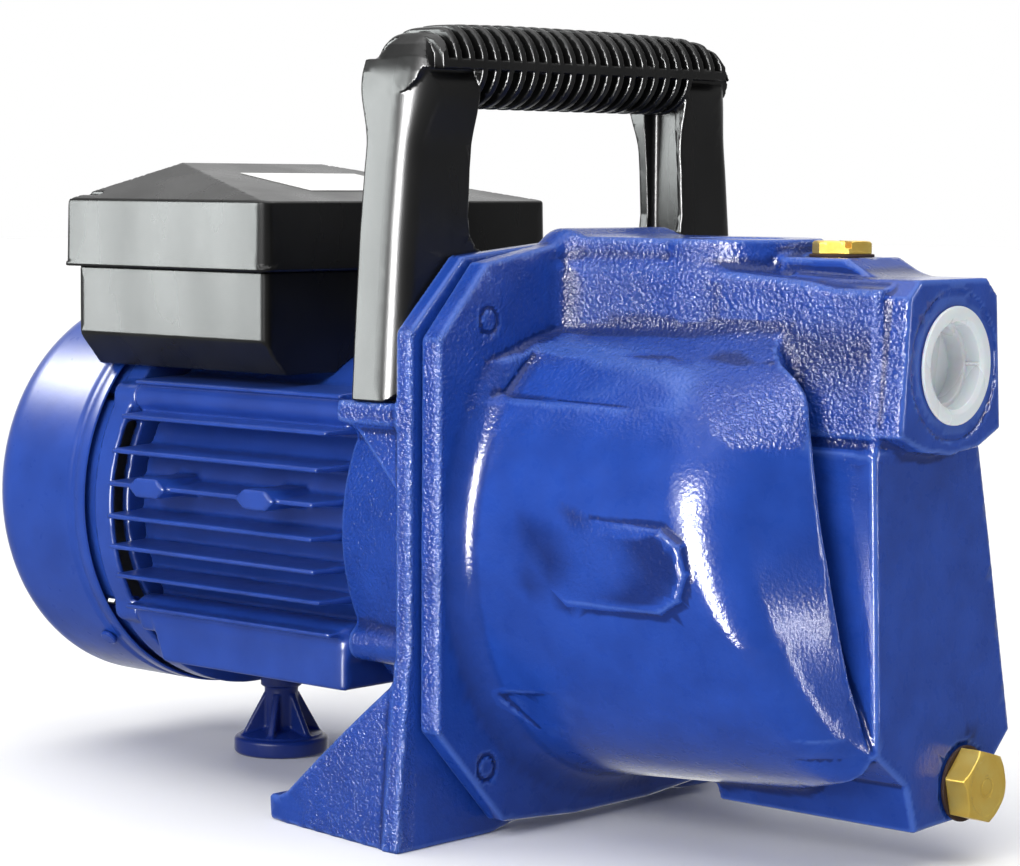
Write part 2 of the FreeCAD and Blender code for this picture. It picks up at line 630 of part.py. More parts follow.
def stator():
    """Stator core and the two ends of its windings."""
    core = turned("stator_core", [("-stack_rear", "stator_in"), ("-stack_rear", "stator_r"),
                                  ("-stack_front", "stator_r"), ("-stack_front", "stator_in")])
    slot = cut(core, "YZ_Plane", [box("-2", "2", "stator_in - 1", "stator_in + 14")],
               "stack_rear - stack_front + 2", "-stack_rear - 1", flip=True)
    repeat(core, slot, 12)
    rings = [ring("Winding", "winding_r", "winding_in", "winding_t", (start, "0", "0"), ALONG_X)
             for start in ("-stack_rear - winding_t", "-stack_front")]
    group("stator_windings", rings)


def rear_end():
    """Rear end shield, through rods, fan cover and its screws."""
    shield = turned("rear_end_shield", [
        ("-frame_rear", "spigot_r + 0.1"), ("-frame_rear", "shield_r"), ("-190", "shield_r"),
        ("-190", "72.3"), ("-201", "72.3"), ("-201", "69"), ("-176", "69"), ("-176", "22"),
        ("-188", "22"), ("-188", "8.6"), ("-184", "8.6"), ("-184", "rear_seat_r"),
        ("-170", "rear_seat_r"), ("-170", "50"), ("-frame_rear + 5", "50"), ("-frame_rear + 5", "spigot_r"),
        ("-frame_rear", "spigot_r")])
    ears = [disc("%d*rod_y" % side, "%d*rod_z" % level, "rib_r + 1") for side, level in CORNERS]
    pad(shield, "YZ_Plane", ears, "10", "-frame_rear - 10")
    rods = [disc("%d*rod_y" % side, "%d*rod_z" % level, "rod_r + 0.2") for side, level in CORNERS]
    cut(shield, "YZ_Plane", rods, "40", "-frame_rear - 30", flip=True)
    heads = [disc("%d*rod_y" % side, "%d*rod_z" % level, "4.4") for side, level in CORNERS]
    cut(shield, "YZ_Plane", heads, "20", "-frame_rear - 28", flip=True)
    long_rods = []
    for side, level in CORNERS:
        across = "%d*rod_y" % side
        up = "%d*rod_z" % level
        shank = rod("RodShank", "rod_r", "frame_rear + 8 - bell_end + 14",
                    ("-frame_rear - 8", across, up), ALONG_X)
        head = rod("RodHead", "4.2", "4", ("-frame_rear - 12", across, up), ALONG_X)
        long_rods.append(fused("Rod", [shank, head]))
    group("tie_rods", long_rods)
    fan_cover()


def fan_cover():
    """The drawn sheet cover over the fan, with a ringed grille, and its four screws."""
    body = turned("fan_cover", [
        ("-cover_front", "cover_r - cover_skin"), ("-cover_front", "cover_r"),
        ("-cover_rear", "cover_r"), ("-cover_rear", "0"), ("-cover_rear + cover_skin", "0"),
        ("-cover_rear + cover_skin", "cover_r - cover_skin")])
    outer = number("cover_r")
    inner = number("cover_r - cover_skin")
    rear = -number("cover_rear")

    def at_rim(radius, place_x):
        def test(middle, extent, edge):
            return abs(extent.YLength / 2 - radius) < 0.05 and abs(middle.x - place_x) < 0.05
        return test
    dress(body, "Fillet", "cover_round", at_rim(outer, rear))
    dress(body, "Fillet", "cover_round - cover_skin", at_rim(inner, rear + number("cover_skin")))
    holes = []
    for count, radius in GRILLE_RINGS:
        for index in range(count):
            angle = 2 * math.pi * index / count
            across = round(radius * math.cos(angle), 4)
            up = round(radius * math.sin(angle), 4)
            holes.append(disc(across, up, "grille_r"))
    cut(body, "YZ_Plane", holes, "6", "-cover_rear - 1", flip=True)
    cover_screws()


def cover_screws():
    """The four round-headed screws on the cover's rim."""
    screws = []
    for index in range(4):
        angle = 45 + 90 * index
        turned_by = FreeCAD.Rotation(FreeCAD.Vector(1, 0, 0), angle)
        reach = number("cover_r") + 0.05
        across = round(-reach * math.sin(math.radians(angle)), 4)
        up = round(reach * math.cos(math.radians(angle)), 4)
        head = rod("ScrewHead", "3.4", "1.8", ("-198", across, up), turned_by)
        screws.append(head)
    group("fan_cover_screws", screws)


def rear_foot():
    """The turned support under the rear of the motor."""
    body = new_body("rear_foot", spot=("-stand_x", "0", "0"))
    turn(body, [("0", "0"), ("stand_r - 1", "0"), ("stand_r", "1"), ("stand_r", "6.5"),
                ("stand_r - 1.5", "8"), ("9", "10"), ("stand_stem", "12"),
                ("stand_stem", "25"), ("8", "26"), ("8", "30.9"), ("4", "30.9"),
                ("4", "41"), ("0", "41")], axis="V_Axis")
    gusset = pad(body, "XZ_Plane", [poly(("5", "7"), ("16", "7"), ("6.3", "22"), ("5", "22"))],
                 "2.4", middle=True)
    repeat(body, gusset, 6, "Z_Axis")


def terminal_box():
    """Terminal box: base, lid, screws, terminal block, capacitor, gland and blank label."""
    base = new_body("terminal_box_base")
    outline = box("-box_rear", "-box_front", "-box_half", "box_half")
    pad(base, "XY_Plane", [outline], "box_rim - box_low", "box_low")
    low = number("box_low")
    dress(base, "Chamfer", "11", lambda middle, extent, edge:
          extent.ZLength < 0.01 and abs(middle.z - low) < 0.01)
    rear = -number("box_rear")
    front = -number("box_front")
    half = number("box_half")

    def upright(middle, extent, edge):
        beside = abs(abs(middle.y) - half) < 0.1
        at_end = min(abs(middle.x - rear), abs(middle.x - front)) < 0.1
        return extent.ZLength > 20 and beside and at_end
    dress(base, "Fillet", "5", upright)
    inside = box("-box_rear + box_wall", "-box_front - box_wall", "-box_half + box_wall",
                 "box_half - box_wall")
    cut(base, "XY_Plane", [inside], "box_rim - box_shelf", "box_rim")
    deep = box("-frame_rear + 3", "-box_front - box_wall", "-box_half + box_wall",
               "box_half - box_wall")
    cut(base, "XY_Plane", [deep], "box_rim - box_floor", "box_rim")
    saddle = disc("0", "axis_z", "core_r + 0.2")
    cut(base, "YZ_Plane", [saddle], "120", "-box_rear - 5", flip=True)
    rear_saddle = disc("0", "axis_z", "shield_r + 0.3")
    cut(base, "YZ_Plane", [rear_saddle], "box_rear - frame_rear + 6", "-box_rear - 5", flip=True)
    gland_hole = disc("-gland_x", "gland_z", "gland_r")
    cut(base, "XZ_Plane", [gland_hole], "12", "-box_half - 4", flip=True)
    lid(base)
    box_contents()


def lid(base):
    """The faceted lid, its screws from below and its blank label."""
    body = new_body("terminal_box_lid")
    outline = box("-lid_rear", "-lid_front", "-lid_half", "lid_half")
    pad(body, "XY_Plane", [outline], "lid_side - box_rim - 0.02", "box_rim + 0.02")
    low = sketch_on(body, "XY_Plane", "lid_side")
    outline(low)
    high = sketch_on(body, "XY_Plane", "lid_top")
    box("-lid_rear + lid_end", "-lid_front - lid_end", "-lid_half + lid_slope",
        "lid_half - lid_slope")(high)
    roof = feature(body, "AdditiveLoft", low)
    roof.Sections = [high]
    roof.Ruled = True
    hollow = box("-box_rear + box_wall", "-box_front - box_wall", "-box_half + box_wall",
                 "box_half - box_wall")
    cut(body, "XY_Plane", [hollow], "lid_side - box_rim", "box_rim", flip=True)
    spots = [(along, "%d*(box_half - post_in)" % side)
             for along in ("-box_rear + post_in", "-box_front - post_in") for side in (1, -1)]
    bosses = [disc(along, across, "post_r") for along, across in spots]
    attic = box("-lid_rear + lid_end + 3", "-lid_front - lid_end - 3",
                "-lid_half + lid_slope + 3", "lid_half - lid_slope - 3")
    cut(body, "XY_Plane", [attic], "lid_top - lid_side - 3", "lid_side", flip=True)
    pad(body, "XY_Plane", bosses, "lid_side - box_rim", "box_rim + 0.02")
    cut(body, "XY_Plane", [disc(along, across, "1.6") for along, across in spots], "12",
        "box_rim", flip=True)
    pad(base, "XY_Plane", bosses, "box_rim - 166", "166")
    cut(base, "XY_Plane", [disc(along, across, "1.8") for along, across in spots], "50",
        "box_rim + 1")
    cut(base, "XY_Plane", [disc(along, across, "3.6") for along, across in spots], "14", "170")
    lid_screws(spots)
    label = new_body("rating_label")
    pad(label, "XY_Plane", [box("-150", "-112", "-30", "30")], "label_t", "lid_top")


def lid_screws(spots):
    """The four screws that hold the lid from below."""
    screws = []
    for along, across in spots:
        head = rod("LidScrewHead", "3.4", "2.6", (along, across, "167.3"), raised=False)
        shank = rod("LidScrewShank", "1.5", "30", (along, across, "169.9"), raised=False)
        screws.append(fused("LidScrew", [head, shank]))
    group("lid_screws", screws)


def box_contents():
    """Terminal block, run capacitor and cable gland with its nut."""
    block = new_body("terminal_block")
    pad(block, "XY_Plane", [box("-188", "-169", "-30", "30")], "8", "box_shelf")
    for index in range(4):
        middle = -21 + 14 * index
        pad(block, "XY_Plane", [box("-185", "-172", middle - 4.5, middle + 4.5)], "7",
            "box_shelf + 8")
    capacitor = new_body("capacitor", spot=("-128", "-42", "box_floor + 17.2"))
    turn(capacitor, [("0", "0"), ("16", "0"), ("17", "1"), ("17", "60"), ("16", "61"),
                     ("8", "61"), ("8", "65"), ("0", "65")], role="XY_Plane", axis="V_Axis")
    at_gland = ("-gland_x", "box_half", "gland_z")
    gland = new_body("cable_gland", spot=at_gland)
    turn(gland, [("5", "-7"), ("6", "-7"), ("6", "0.02"), ("9.4", "0.02"), ("9.4", "5"),
                 ("7.5", "5.5"), ("7.5", "12"), ("5", "12")], role="XY_Plane", axis="V_Axis")
    nut = new_body("gland_nut", spot=at_gland)
    turn(nut, [("7.6", "6"), ("9.4", "6"), ("9.4", "13"), ("7.5", "19"), ("4.5", "19"),
               ("4.5", "12.5"), ("7.6", "12.5")], role="XY_Plane", axis="V_Axis")


def handle():
    """The carrying handle: two legs, a bar between them and a ribbed grip."""
    body = new_body("handle")
    outer = mirrored([("leg_out + 2", "leg_low"), ("leg_out - 3", "262"),
                      ("leg_out - 9", "270"), ("leg_out - 22", "273")])
    opening = mirrored([("leg_in - 13", "bar_top"), ("leg_in + 1.5", "bar_top + 12"),
                        ("leg_in - 1.5", "248")])
    below = mirrored([("leg_in + 10", "leg_low - 1"), ("leg_in + 8", "bar_low - 14"),
                      ("leg_in - 20", "bar_low")])
    pad(body, "YZ_Plane", [poly(*outer)], "leg_rear - leg_front", "-leg_rear")
    cut(body, "YZ_Plane", [poly(*opening)], "leg_rear", "-leg_front + 1")
    cut(body, "YZ_Plane", [poly(*below)], "leg_rear", "-leg_front + 1")
    sleeve = box("-56.5", "56.5", "245", "280")
    cut(body, "YZ_Plane", [sleeve], "leg_rear", "-leg_front + 1")
    ribbed_grip(body)
    screws = [disc("-grip_x", "%d*screw_y" % side, "screw_r + 0.1") for side in (1, -1)]
    cut(body, "XY_Plane", screws, "16", "leg_low - 1", flip=True)
    heads = [disc("%d*bolt_y" % side, "axis_z + bolt_z", "head_room") for side in (1, -1)]
    cut(body, "YZ_Plane", heads, "9", "-leg_front + 1")
    handle_screws()


def ribbed_grip(body):
    """The round grip, with ribs turned on it at even steps."""
    pitch = 2 * GRIP_HALF / GRIP_RIBS
    corners = [("0", -GRIP_HALF)]
    for index in range(GRIP_RIBS):
        start = round(-GRIP_HALF + pitch * index, 3)
        end = round(start + RIB_WIDTH, 3)
        following = round(-GRIP_HALF + pitch * (index + 1), 3)
        corners += [("grip_r", start), ("grip_r", end), ("grip_core", end),
                    ("grip_core", following)]
    corners.append(("0", GRIP_HALF))
    sketch = sketch_on(body, "XY_Plane", "grip_z", shift=("-grip_x", "0"))
    poly(*corners)(sketch)
    grip = feature(body, "Revolution", sketch)
    grip.ReferenceAxis = (sketch, ["V_Axis"])
    grip.Angle = 360


def handle_screws():
    """The two screws that hold the handle to the lugs from below."""
    fixings = []
    for side in (1, -1):
        across = "%d*screw_y" % side
        seat = "lug_z - lug_t - 0.1"
        head = hexagon("HandleScrewHead", "5.5", "4", ("-grip_x", across, seat + " - 4"),
                       raised=False)
        shank = rod("HandleScrewShank", "screw_r", "lug_t + 16", ("-grip_x", across, seat),
                    raised=False)
        fixings.append(fused("HandleScrew", [head, shank]))
    group("handle_screws", fixings)


def plugs():
    """Filler and drain plugs with their washers, and the push-in cap of the suction port."""
    filler_plug()
    spot = ("front_x", "drain_y", "drain_z")
    washer = ring("DrainSeal", "12.6", "drain_r + 0.3", "1.2", spot, ALONG_X, raised=False)
    keep("drain_plug_seal", washer)
    head = hexagon("DrainHead", "drain_head", "drain_head_t",
                   ("front_x + 1.25", "drain_y", "drain_z"), ALONG_X * about_z(DRAIN_TURN),
                   raised=False)
    stem = rod("DrainStem", "drain_r - slack", "13.25",
               ("front_x - 12", "drain_y", "drain_z"), ALONG_X, raised=False)
    keep("drain_plug", fused("DrainPlug", [head, stem]))
    cap = new_body("suction_cap", spot=("boss_x", "0", "suction_z"))
    turn(cap, [("0.05", "port_r - 1.5"), ("0.05", "cap_flange"), ("1.2", "cap_flange"),
               ("1.2", "port_r - 2.6"), ("-cap_depth + 1.2", "port_r - 3"),
               ("-cap_depth + 1.2", "0"), ("-cap_depth", "0"), ("-cap_depth", "port_r - 1.6"),
               ("-4", "port_r - slack"), ("0.05", "port_r - slack")])


def filler_plug():
    """The filler plug, with a screwdriver slot across its hexagon head, and its washer."""
    spot = ("filler_x", "0", "filler_seat_z")
    keep("filler_plug_seal", ring("FillerSeal", "10.6", "7.2", "1", spot, raised=False))
    head = hexagon("FillerHead", "filler_head", "filler_head_t",
                   ("filler_x", "0", "filler_seat_z + 1.05"), about_z(FILLER_TURN), raised=False)
    stem = rod("FillerStem", "filler_r - slack", "stem_depth + 1.05",
               ("filler_x", "0", "filler_seat_z - stem_depth"), raised=False)
    slot = doc.addObject("Part::Box", "FillerSlot")
    slot.Length, slot.Width, slot.Height = 22, 2, 3
    corner = about_z(SLOT_TURN).multVec(FreeCAD.Vector(-11, -1, 0))
    slot.Placement = FreeCAD.Placement(FreeCAD.Vector(), about_z(SLOT_TURN))
    place(slot, ("filler_x + (%.4f)" % corner.x, "%.4f" % corner.y, "filler_seat_z + 3.25"),
          raised=False)
    plug = doc.addObject("Part::Cut", "FillerPlug")
    plug.Base = fused("FillerSolid", [head, stem])
    plug.Tool = slot
    keep("filler_plug", plug)


def write_parts():
    """Check every object, then write each sub-part."""
    doc.recompute()
    for item in doc.Objects:
        if "Invalid" in item.State or "Error" in item.State:
            raise RuntimeError("%s is %s" % (item.Label, item.State))
    for name, item in nodes.items():
        if item.Shape.isNull() or not item.Shape.isValid() or item.Shape.Volume <= 0:
            raise RuntimeError("%s has no valid shape" % name)
    os.makedirs("parts", exist_ok=True)
    for name, item in nodes.items():
        item.Shape.exportStep("parts/%s.step" % name)
        print("%-20s %8.1f mm3, %d solids" % (name, item.Shape.Volume, len(item.Shape.Solids)))


fill_sheet()
pump_casing()
casing_oring()
flange_fasteners()
motor_bracket()
hydraulics()
shaft_seal()
rotor()
bearings()
motor_housing()
stator()
rear_end()
rear_foot()
terminal_box()
handle()
plugs()
write_parts()
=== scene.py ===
"""A shallow well jet pump: the visible pieces, their materials, the lamps and the camera.

Castings and mouldings are drawn as signed distance fields in millimetres (negative inside) in
the joint frame, whose x = 0 is the joint face between casing and bracket.  sculpt() turns a
field into a closed mesh in metres.  Turned pieces are outlines swept round their axis.
"""
import json
import math

import bmesh
import bpy
import numpy as np
import openvdb
from mathutils import Matrix, Vector


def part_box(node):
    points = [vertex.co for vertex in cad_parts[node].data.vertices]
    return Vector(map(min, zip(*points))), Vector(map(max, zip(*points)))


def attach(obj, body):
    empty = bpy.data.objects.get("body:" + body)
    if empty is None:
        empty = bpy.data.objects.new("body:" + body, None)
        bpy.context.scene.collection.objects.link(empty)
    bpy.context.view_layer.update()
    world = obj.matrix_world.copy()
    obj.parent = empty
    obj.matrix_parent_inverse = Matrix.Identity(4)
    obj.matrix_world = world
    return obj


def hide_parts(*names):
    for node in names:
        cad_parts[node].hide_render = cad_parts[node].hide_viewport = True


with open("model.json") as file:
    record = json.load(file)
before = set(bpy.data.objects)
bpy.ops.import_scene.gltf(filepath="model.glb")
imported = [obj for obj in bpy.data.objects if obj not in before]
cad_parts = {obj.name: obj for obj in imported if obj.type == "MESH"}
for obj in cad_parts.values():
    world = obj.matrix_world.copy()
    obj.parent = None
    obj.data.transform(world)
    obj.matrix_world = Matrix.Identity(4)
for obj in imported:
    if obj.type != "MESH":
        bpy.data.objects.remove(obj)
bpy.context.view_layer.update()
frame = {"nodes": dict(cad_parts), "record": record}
MM = 0.001
AXIS = 101.0
JOINT_X = round(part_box("pump_casing")[0].x / MM, 2)
TETRA = np.array([(1, -1, -1), (-1, -1, 1), (-1, 1, -1), (1, 1, 1)], float)

THINNING = 0.02
BEND_REACH = 0.9
SHARPEST_BEND = 0.4

# Places that several pieces share, in millimetres of the joint frame.
ROD_Y, ROD_Z = 60, 40
BOLT_Y, BOLT_Z = 66, 75
PORT_Z, PORT_R = 164.5, 15.15
OUTLET_X, DECK_Z = 62, 203.5
FRONT_X, BOSS_X = 139.6, 149
FILLER_X = 104.5
DRAIN_Y, DRAIN_Z = 23.0, 25.8
HANDLE_SCREW_X, HANDLE_SCREW_Y = -17.5, 81
FOOT_X = -159.5
POST_X, POST_APART, POST_Y = -142.5, 40.5, 57
GLAND_X, GLAND_Z = -120, 180


# -------- fields

def polygon(u, v, corners):
    """Signed distance to a closed outline of straight edges."""
    best = np.full(u.shape, 1e12)
    inside = np.zeros(u.shape, bool)
    for (ax, ay), (bx, by) in zip(corners, corners[1:] + corners[:1]):
        ex, ey = bx - ax, by - ay
        wx, wy = u - ax, v - ay
        along = np.clip((wx * ex + wy * ey) / (ex * ex + ey * ey), 0, 1)
        best = np.minimum(best, (wx - ex * along) ** 2 + (wy - ey * along) ** 2)
        crosses = (ay > v) != (by > v)
        side = ex * (v - ay) / (ey if ey else 1e-9) + ax > u
        inside ^= crosses & side
    return np.where(inside, -1, 1) * np.sqrt(best)


def join(a, b, radius=None):
    """Union, with a round fillet between the two."""
    if radius is None:
        return np.minimum(a, b)
    u = np.maximum(radius - a, 0)
    v = np.maximum(radius - b, 0)
    return np.maximum(radius, np.minimum(a, b)) - np.sqrt(u * u + v * v)


def both(a, b, radius=None):
    """Intersection, with a rounded edge."""
    if radius is None:
        return np.maximum(a, b)
    u = np.maximum(radius + a, 0)
    v = np.maximum(radius + b, 0)
    return np.minimum(-radius, np.maximum(a, b)) + np.sqrt(u * u + v * v)


def less(a, b, radius=None):
    """Difference, with a rounded edge."""
    return both(a, -b, radius)


def slab(u, low, high):
    """Distance to the space between two planes."""
    return np.abs(u - (low + high) / 2) - (high - low) / 2


def tube(u, v, radius):
    """Distance to an endless cylinder through the origin."""
    return np.sqrt(u * u + v * v) - radius


def block(x, y, z, low, high, radius=1.0):
    """A box with rounded edges."""
    flat = both(slab(x, low[0], high[0]), slab(y, low[1], high[1]), radius)
    return both(flat, slab(z, low[2], high[2]), radius)


def post(u, v, spread_u, spread_v, corner):
    """An upright rounded rectangle between two limits along each axis."""
    a = slab(u, *spread_u) + corner
    b = slab(v, *spread_v) + corner
    outside = np.sqrt(np.maximum(a, 0) ** 2 + np.maximum(b, 0) ** 2)
    return outside + np.minimum(np.maximum(a, b), 0) - corner


def hexagon(u, v, flats):
    """An endless hexagonal bar with flats that far across."""
    u, v = np.abs(u), np.abs(v)
    return np.maximum(v, u * math.sqrt(0.75) + v * 0.5) - flats / 2


def thread(along, u, v, radius, pitch, depth):
    """An endless screw thread along its axis."""
    turn = np.arctan2(v, u) / (2 * math.pi)
    phase = (along / pitch - turn) % 1.0
    groove = depth * np.abs(phase - 0.5) * 2
    return (np.sqrt(u * u + v * v) - radius + groove) * 0.8


def at_rods(y, z, radius):
    """Distance to four bars along the tie rods."""
    return tube(np.abs(y) - ROD_Y, np.abs(z - AXIS) - ROD_Z, radius)


def at_bolts(y, z, radius):
    """Distance to four bars along the flange bolts."""
    return tube(np.abs(y) - BOLT_Y, np.abs(z - AXIS) - BOLT_Z, radius)


def at_posts(x, y, radius):
    """Distance to four upright bars along the lid screws."""
    return tube(np.abs(x - POST_X) - POST_APART, np.abs(y) - POST_Y, radius)


def at_handle_screws(x, y, radius):
    """Distance to two upright bars along the handle screws."""
    return tube(x - HANDLE_SCREW_X, np.abs(y) - HANDLE_SCREW_Y, radius)


def step(value, start, end):
    """Rise smoothly from 0 to 1 between two values."""
    t = np.clip((value - start) / (end - start), 0, 1)
    return t * t * (3 - 2 * t)


# -------- meshes

def gradient(field, points, reach):
    """Unit slopes of a field, from four samples round each point."""
    slopes = np.zeros_like(points)
    for corner in TETRA:
        slopes += field(*(points + corner * reach).T)[:, None] * corner
    length = np.linalg.norm(slopes, axis=1, keepdims=True)
    return slopes / np.maximum(length, 1e-9)


def sample(field, low, high, voxel):
    """Sample a field in the blocks of cells near its surface, and fill the rest with its sign."""
    side = 8
    pitch = voxel * side
    counts = [int(math.ceil((b - a) / pitch)) for a, b in zip(low, high)]
    starts = np.stack(np.meshgrid(*[np.arange(c) for c in counts], indexing="ij"), -1)
    starts = starts.reshape(-1, 3)
    far = field(*(low + (starts + 0.5) * pitch).T)
    limit = 3 * voxel
    dense = np.empty([c * side for c in counts], np.float32)
    view = dense.reshape(counts[0], side, counts[1], side, counts[2], side)
    view[:] = np.where(far < 0, -limit, limit).reshape(counts)[:, None, :, None, :, None]
    near = starts[np.abs(far) < pitch * 1.05]
    inner = np.stack(np.meshgrid(*[np.arange(side)] * 3, indexing="ij"), -1).reshape(-1, 3)
    for first in range(0, len(near), 400):
        batch = near[first:first + 400]
        cells = batch[:, None, :] * side + inner[None, :, :]
        found = field(*(low + cells.reshape(-1, 3) * voxel).T)
        for (i, j, k), cube in zip(batch, found.reshape(len(batch), side, side, side)):
            view[i, :, j, :, k, :] = cube
    grid = openvdb.FloatGrid(limit)
    grid.copyFromArray(dense)
    return grid


def sculpt(name, field, low, high, voxel):
    """Turn a field into a closed mesh with normals from the field itself."""
    low = np.array(low, float)
    grid = sample(field, low, high, voxel)
    spots, triangles, quads = grid.convertToPolygons(isovalue=0.0, adaptivity=THINNING)
    spots = low + spots.astype(float) * voxel
    slopes = gradient(field, spots, voxel * 0.3)
    for _ in range(2):
        height = np.clip(field(*spots.T), -voxel, voxel)
        spots = spots - slopes * height[:, None]
    normals = gradient(field, spots, voxel * 0.25)
    return mesh_from_arrays(name, spots, triangles, quads, normals)


def mesh_from_arrays(name, spots, triangles, quads, normals):
    """Build an object from arrays in the joint frame."""
    mesh = bpy.data.meshes.new(name)
    placed = (spots + np.array([JOINT_X, 0, 0])) * MM
    mesh.vertices.add(len(placed))
    mesh.vertices.foreach_set("co", placed.astype(np.float32).ravel())
    corners = np.concatenate([quads.ravel(), triangles.ravel()])
    mesh.loops.add(len(corners))
    mesh.loops.foreach_set("vertex_index", corners.astype(np.int32))
    sizes = np.concatenate([np.full(len(quads), 4), np.full(len(triangles), 3)])
    firsts = np.concatenate([[0], np.cumsum(sizes)[:-1]])
    mesh.polygons.add(len(sizes))
    mesh.polygons.foreach_set("loop_start", firsts.astype(np.int32))
    mesh.polygons.foreach_set("loop_total", sizes.astype(np.int32))
    mesh.update(calc_edges=True)
    mesh.validate()
    faces = bmesh.new()
    faces.from_mesh(mesh)
    if faces.calc_volume(signed=True) < 0:
        bmesh.ops.reverse_faces(faces, faces=faces.faces)
    faces.to_mesh(mesh)
    faces.free()
    mesh.shade_smooth()
    mesh.normals_split_custom_set_from_vertices(normals.tolist())
    return linked(name, mesh)


def linked(name, mesh):
    """Make an object of a mesh and put it in the scene."""
    piece = bpy.data.objects.new(name, mesh)
    bpy.context.scene.collection.objects.link(piece)
    return piece


def masked(piece, shape, field):
    """Store at each vertex how rough the skin is, and how sharply it bends out or in; the bend sets
    where the paint gets its painted highlight and painted shade.
    """
    count = len(piece.data.vertices)
    places = np.empty(count * 3, np.float32)
    piece.data.vertices.foreach_get("co", places)
    places = places.reshape(-1, 3).astype(float) / MM - np.array([JOINT_X, 0, 0])
    around = np.mean([shape(*(places + corner * BEND_REACH).T) for corner in TETRA], axis=0)
    bend = 2 * (around - shape(*places.T)) / BEND_REACH ** 2
    bend = np.clip(bend / SHARPEST_BEND, -1, 1)
    for name, values in (("rough", field(*places.T)), ("bend", bend)):
        data = piece.data.attributes.new(name, "FLOAT", "POINT")
        data.data.foreach_set("value", values.astype(np.float32))


def stands_for(piece, node):
    """Let a piece stand for a CAD node: same body, same material, and the node hidden."""
    original = frame["nodes"][node]
    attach(piece, body_of_node(node))
    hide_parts(node)
    material = original.data.materials[0]
    piece.data.materials.clear()
    piece.data.materials.append(material)
    return piece


def repainted(piece, slot):
    """Give a piece the finish of another slot."""
    piece.data.materials[0] = bpy.data.materials[slot]


def body_of_node(node):
    """Find the body that carries a CAD node."""
    for body, carried in frame["record"]["behaviour"]["bodies"].items():
        if node in carried:
            return body
    raise ValueError("no body carries " + node)


# -------- casing

FLANGE = [(-10, 3.2), (20, 3.2), (57, 6), (90, 40.5), (90, 170.5), (67, 195), (34, 200.5),
          (25, 203.5), (-10, 203.5)]
BLOCK = [(-29.7, 137), (-27.5, 85), (-25.7, 41), (-8.7, 29), (-3.5, 13), (23.4, 14),
         (51.3, 40), (43, 78), (37, 106), (29.8, 137)]
BOSS = [(-29.4, 143), (-15, 137.6), (0, 135.8), (15, 137.6), (27.4, 143), (24.5, 186.5),
        (18.5, 192), (-19.5, 192), (-25.5, 186.5)]
RIDGE_Z = [41, 48, 65, 78, 89, 101, 110, 119, 130, 148, 165, 190]
RIM_X = [137, 136, 131, 126, 119.5, 113.5, 109, 105.8, 104.6, 104.8, 108, 112]
RIM_Y = [32, 38, 57, 68.5, 71.5, 74, 74.4, 72, 68, 57, 42, 30]
CREST_X = [139, 136.3, 133, 131.2, 129.6, 128, 126.6, 125.4, 124.4, 122.8, 121.7, 121]
CREST_Y = [25.8, 27, 31.2, 33.4, 34.8, 36.2, 37.2, 38, 38.8, 40, 40, 40]


def drum(x, y, z):
    """The barrel of the casing, a little taller than wide, narrowing to the front."""
    width = np.interp(x, [0, 20, 105, 140], [82, 80.5, 74.6, 72])
    return np.sqrt(y * y + ((z - AXIS) * 0.955) ** 2) - width


def slanted_end(x, y, z):
    """The slanted faces from the barrel's rim to the crests beside the front block."""
    rim_x = np.interp(z, RIDGE_Z, RIM_X)
    rim_y = np.interp(z, RIDGE_Z, RIM_Y)
    crest_x = np.interp(z, RIDGE_Z, CREST_X)
    crest_y = np.interp(z, RIDGE_Z, CREST_Y)
    run_x = crest_x - rim_x
    run_y = rim_y - crest_y
    length = np.sqrt(run_x ** 2 + run_y ** 2)
    slope = ((x - crest_x) * run_y + (np.abs(y) - crest_y) * run_x) / length
    behind = (x - crest_x + (crest_y - np.abs(y)) * 1.9) * 0.47
    return both(slope, join(behind, x - 108, 2), 2.4)


def top_beam(x, y, z):
    """The beam over the barrel with the deck, the outlet boss and the filler pad."""
    top = [(-5, 120), (-5, 194.5), (62, 194.5), (110, 191), (122, 189), (FRONT_X, 189),
           (FRONT_X, 138), (100, 120)]
    beam = both(polygon(x, z, top), slab(y, -29, 28.5), 2.5)
    deck = block(x, y, z, (4, -27.5, 150), (OUTLET_X, 27.5, DECK_Z), 1.6)
    outlet = both(tube(x - OUTLET_X, y, 28.6), slab(z, 150, DECK_Z), 1.2)
    pad_top = 198 - np.maximum(x - 117, 0) * 0.55
    pad = both(both(slab(x, 89, 132), slab(y, -15.5, 15.5), 5), z - pad_top, 1.5)
    pad = both(pad, 150 - z)
    return join(join(beam, join(deck, outlet), 4), pad, 4)


def panels(x, y, z):
    """The two shallow recesses in the near and far sides of the barrel."""
    upper = polygon(x, z, [(12, 151.5), (88, 151.5), (93, 154.5), (88.5, 158.6), (26, 171),
                           (14, 168)]) - 1.0
    upper = np.maximum(upper, 150.2 - (np.abs(y) * 0.705 + z * 0.709))
    lower = polygon(x, z, [(16, 50.5), (110, 58), (120, 56.6), (124, 52), (120, 47),
                           (33, 29)]) - 1.0
    lower = np.maximum(lower, 73.0 - (np.abs(y) - (z - AXIS) * 0.72) * 0.72
                       + (x - 60) * 0.035)
    return np.minimum(upper, lower)


def side_pad(x, y, z):
    """The flat pad on each side of the barrel."""
    outline = polygon(x, z, [(40, 112.5), (91, 112.5), (98, 108.5), (100.5, 100.5),
                             (98, 92.5), (91, 88), (40, 88)]) - 1.0
    return both(outline, np.abs(y) - 77.2, 1.2)


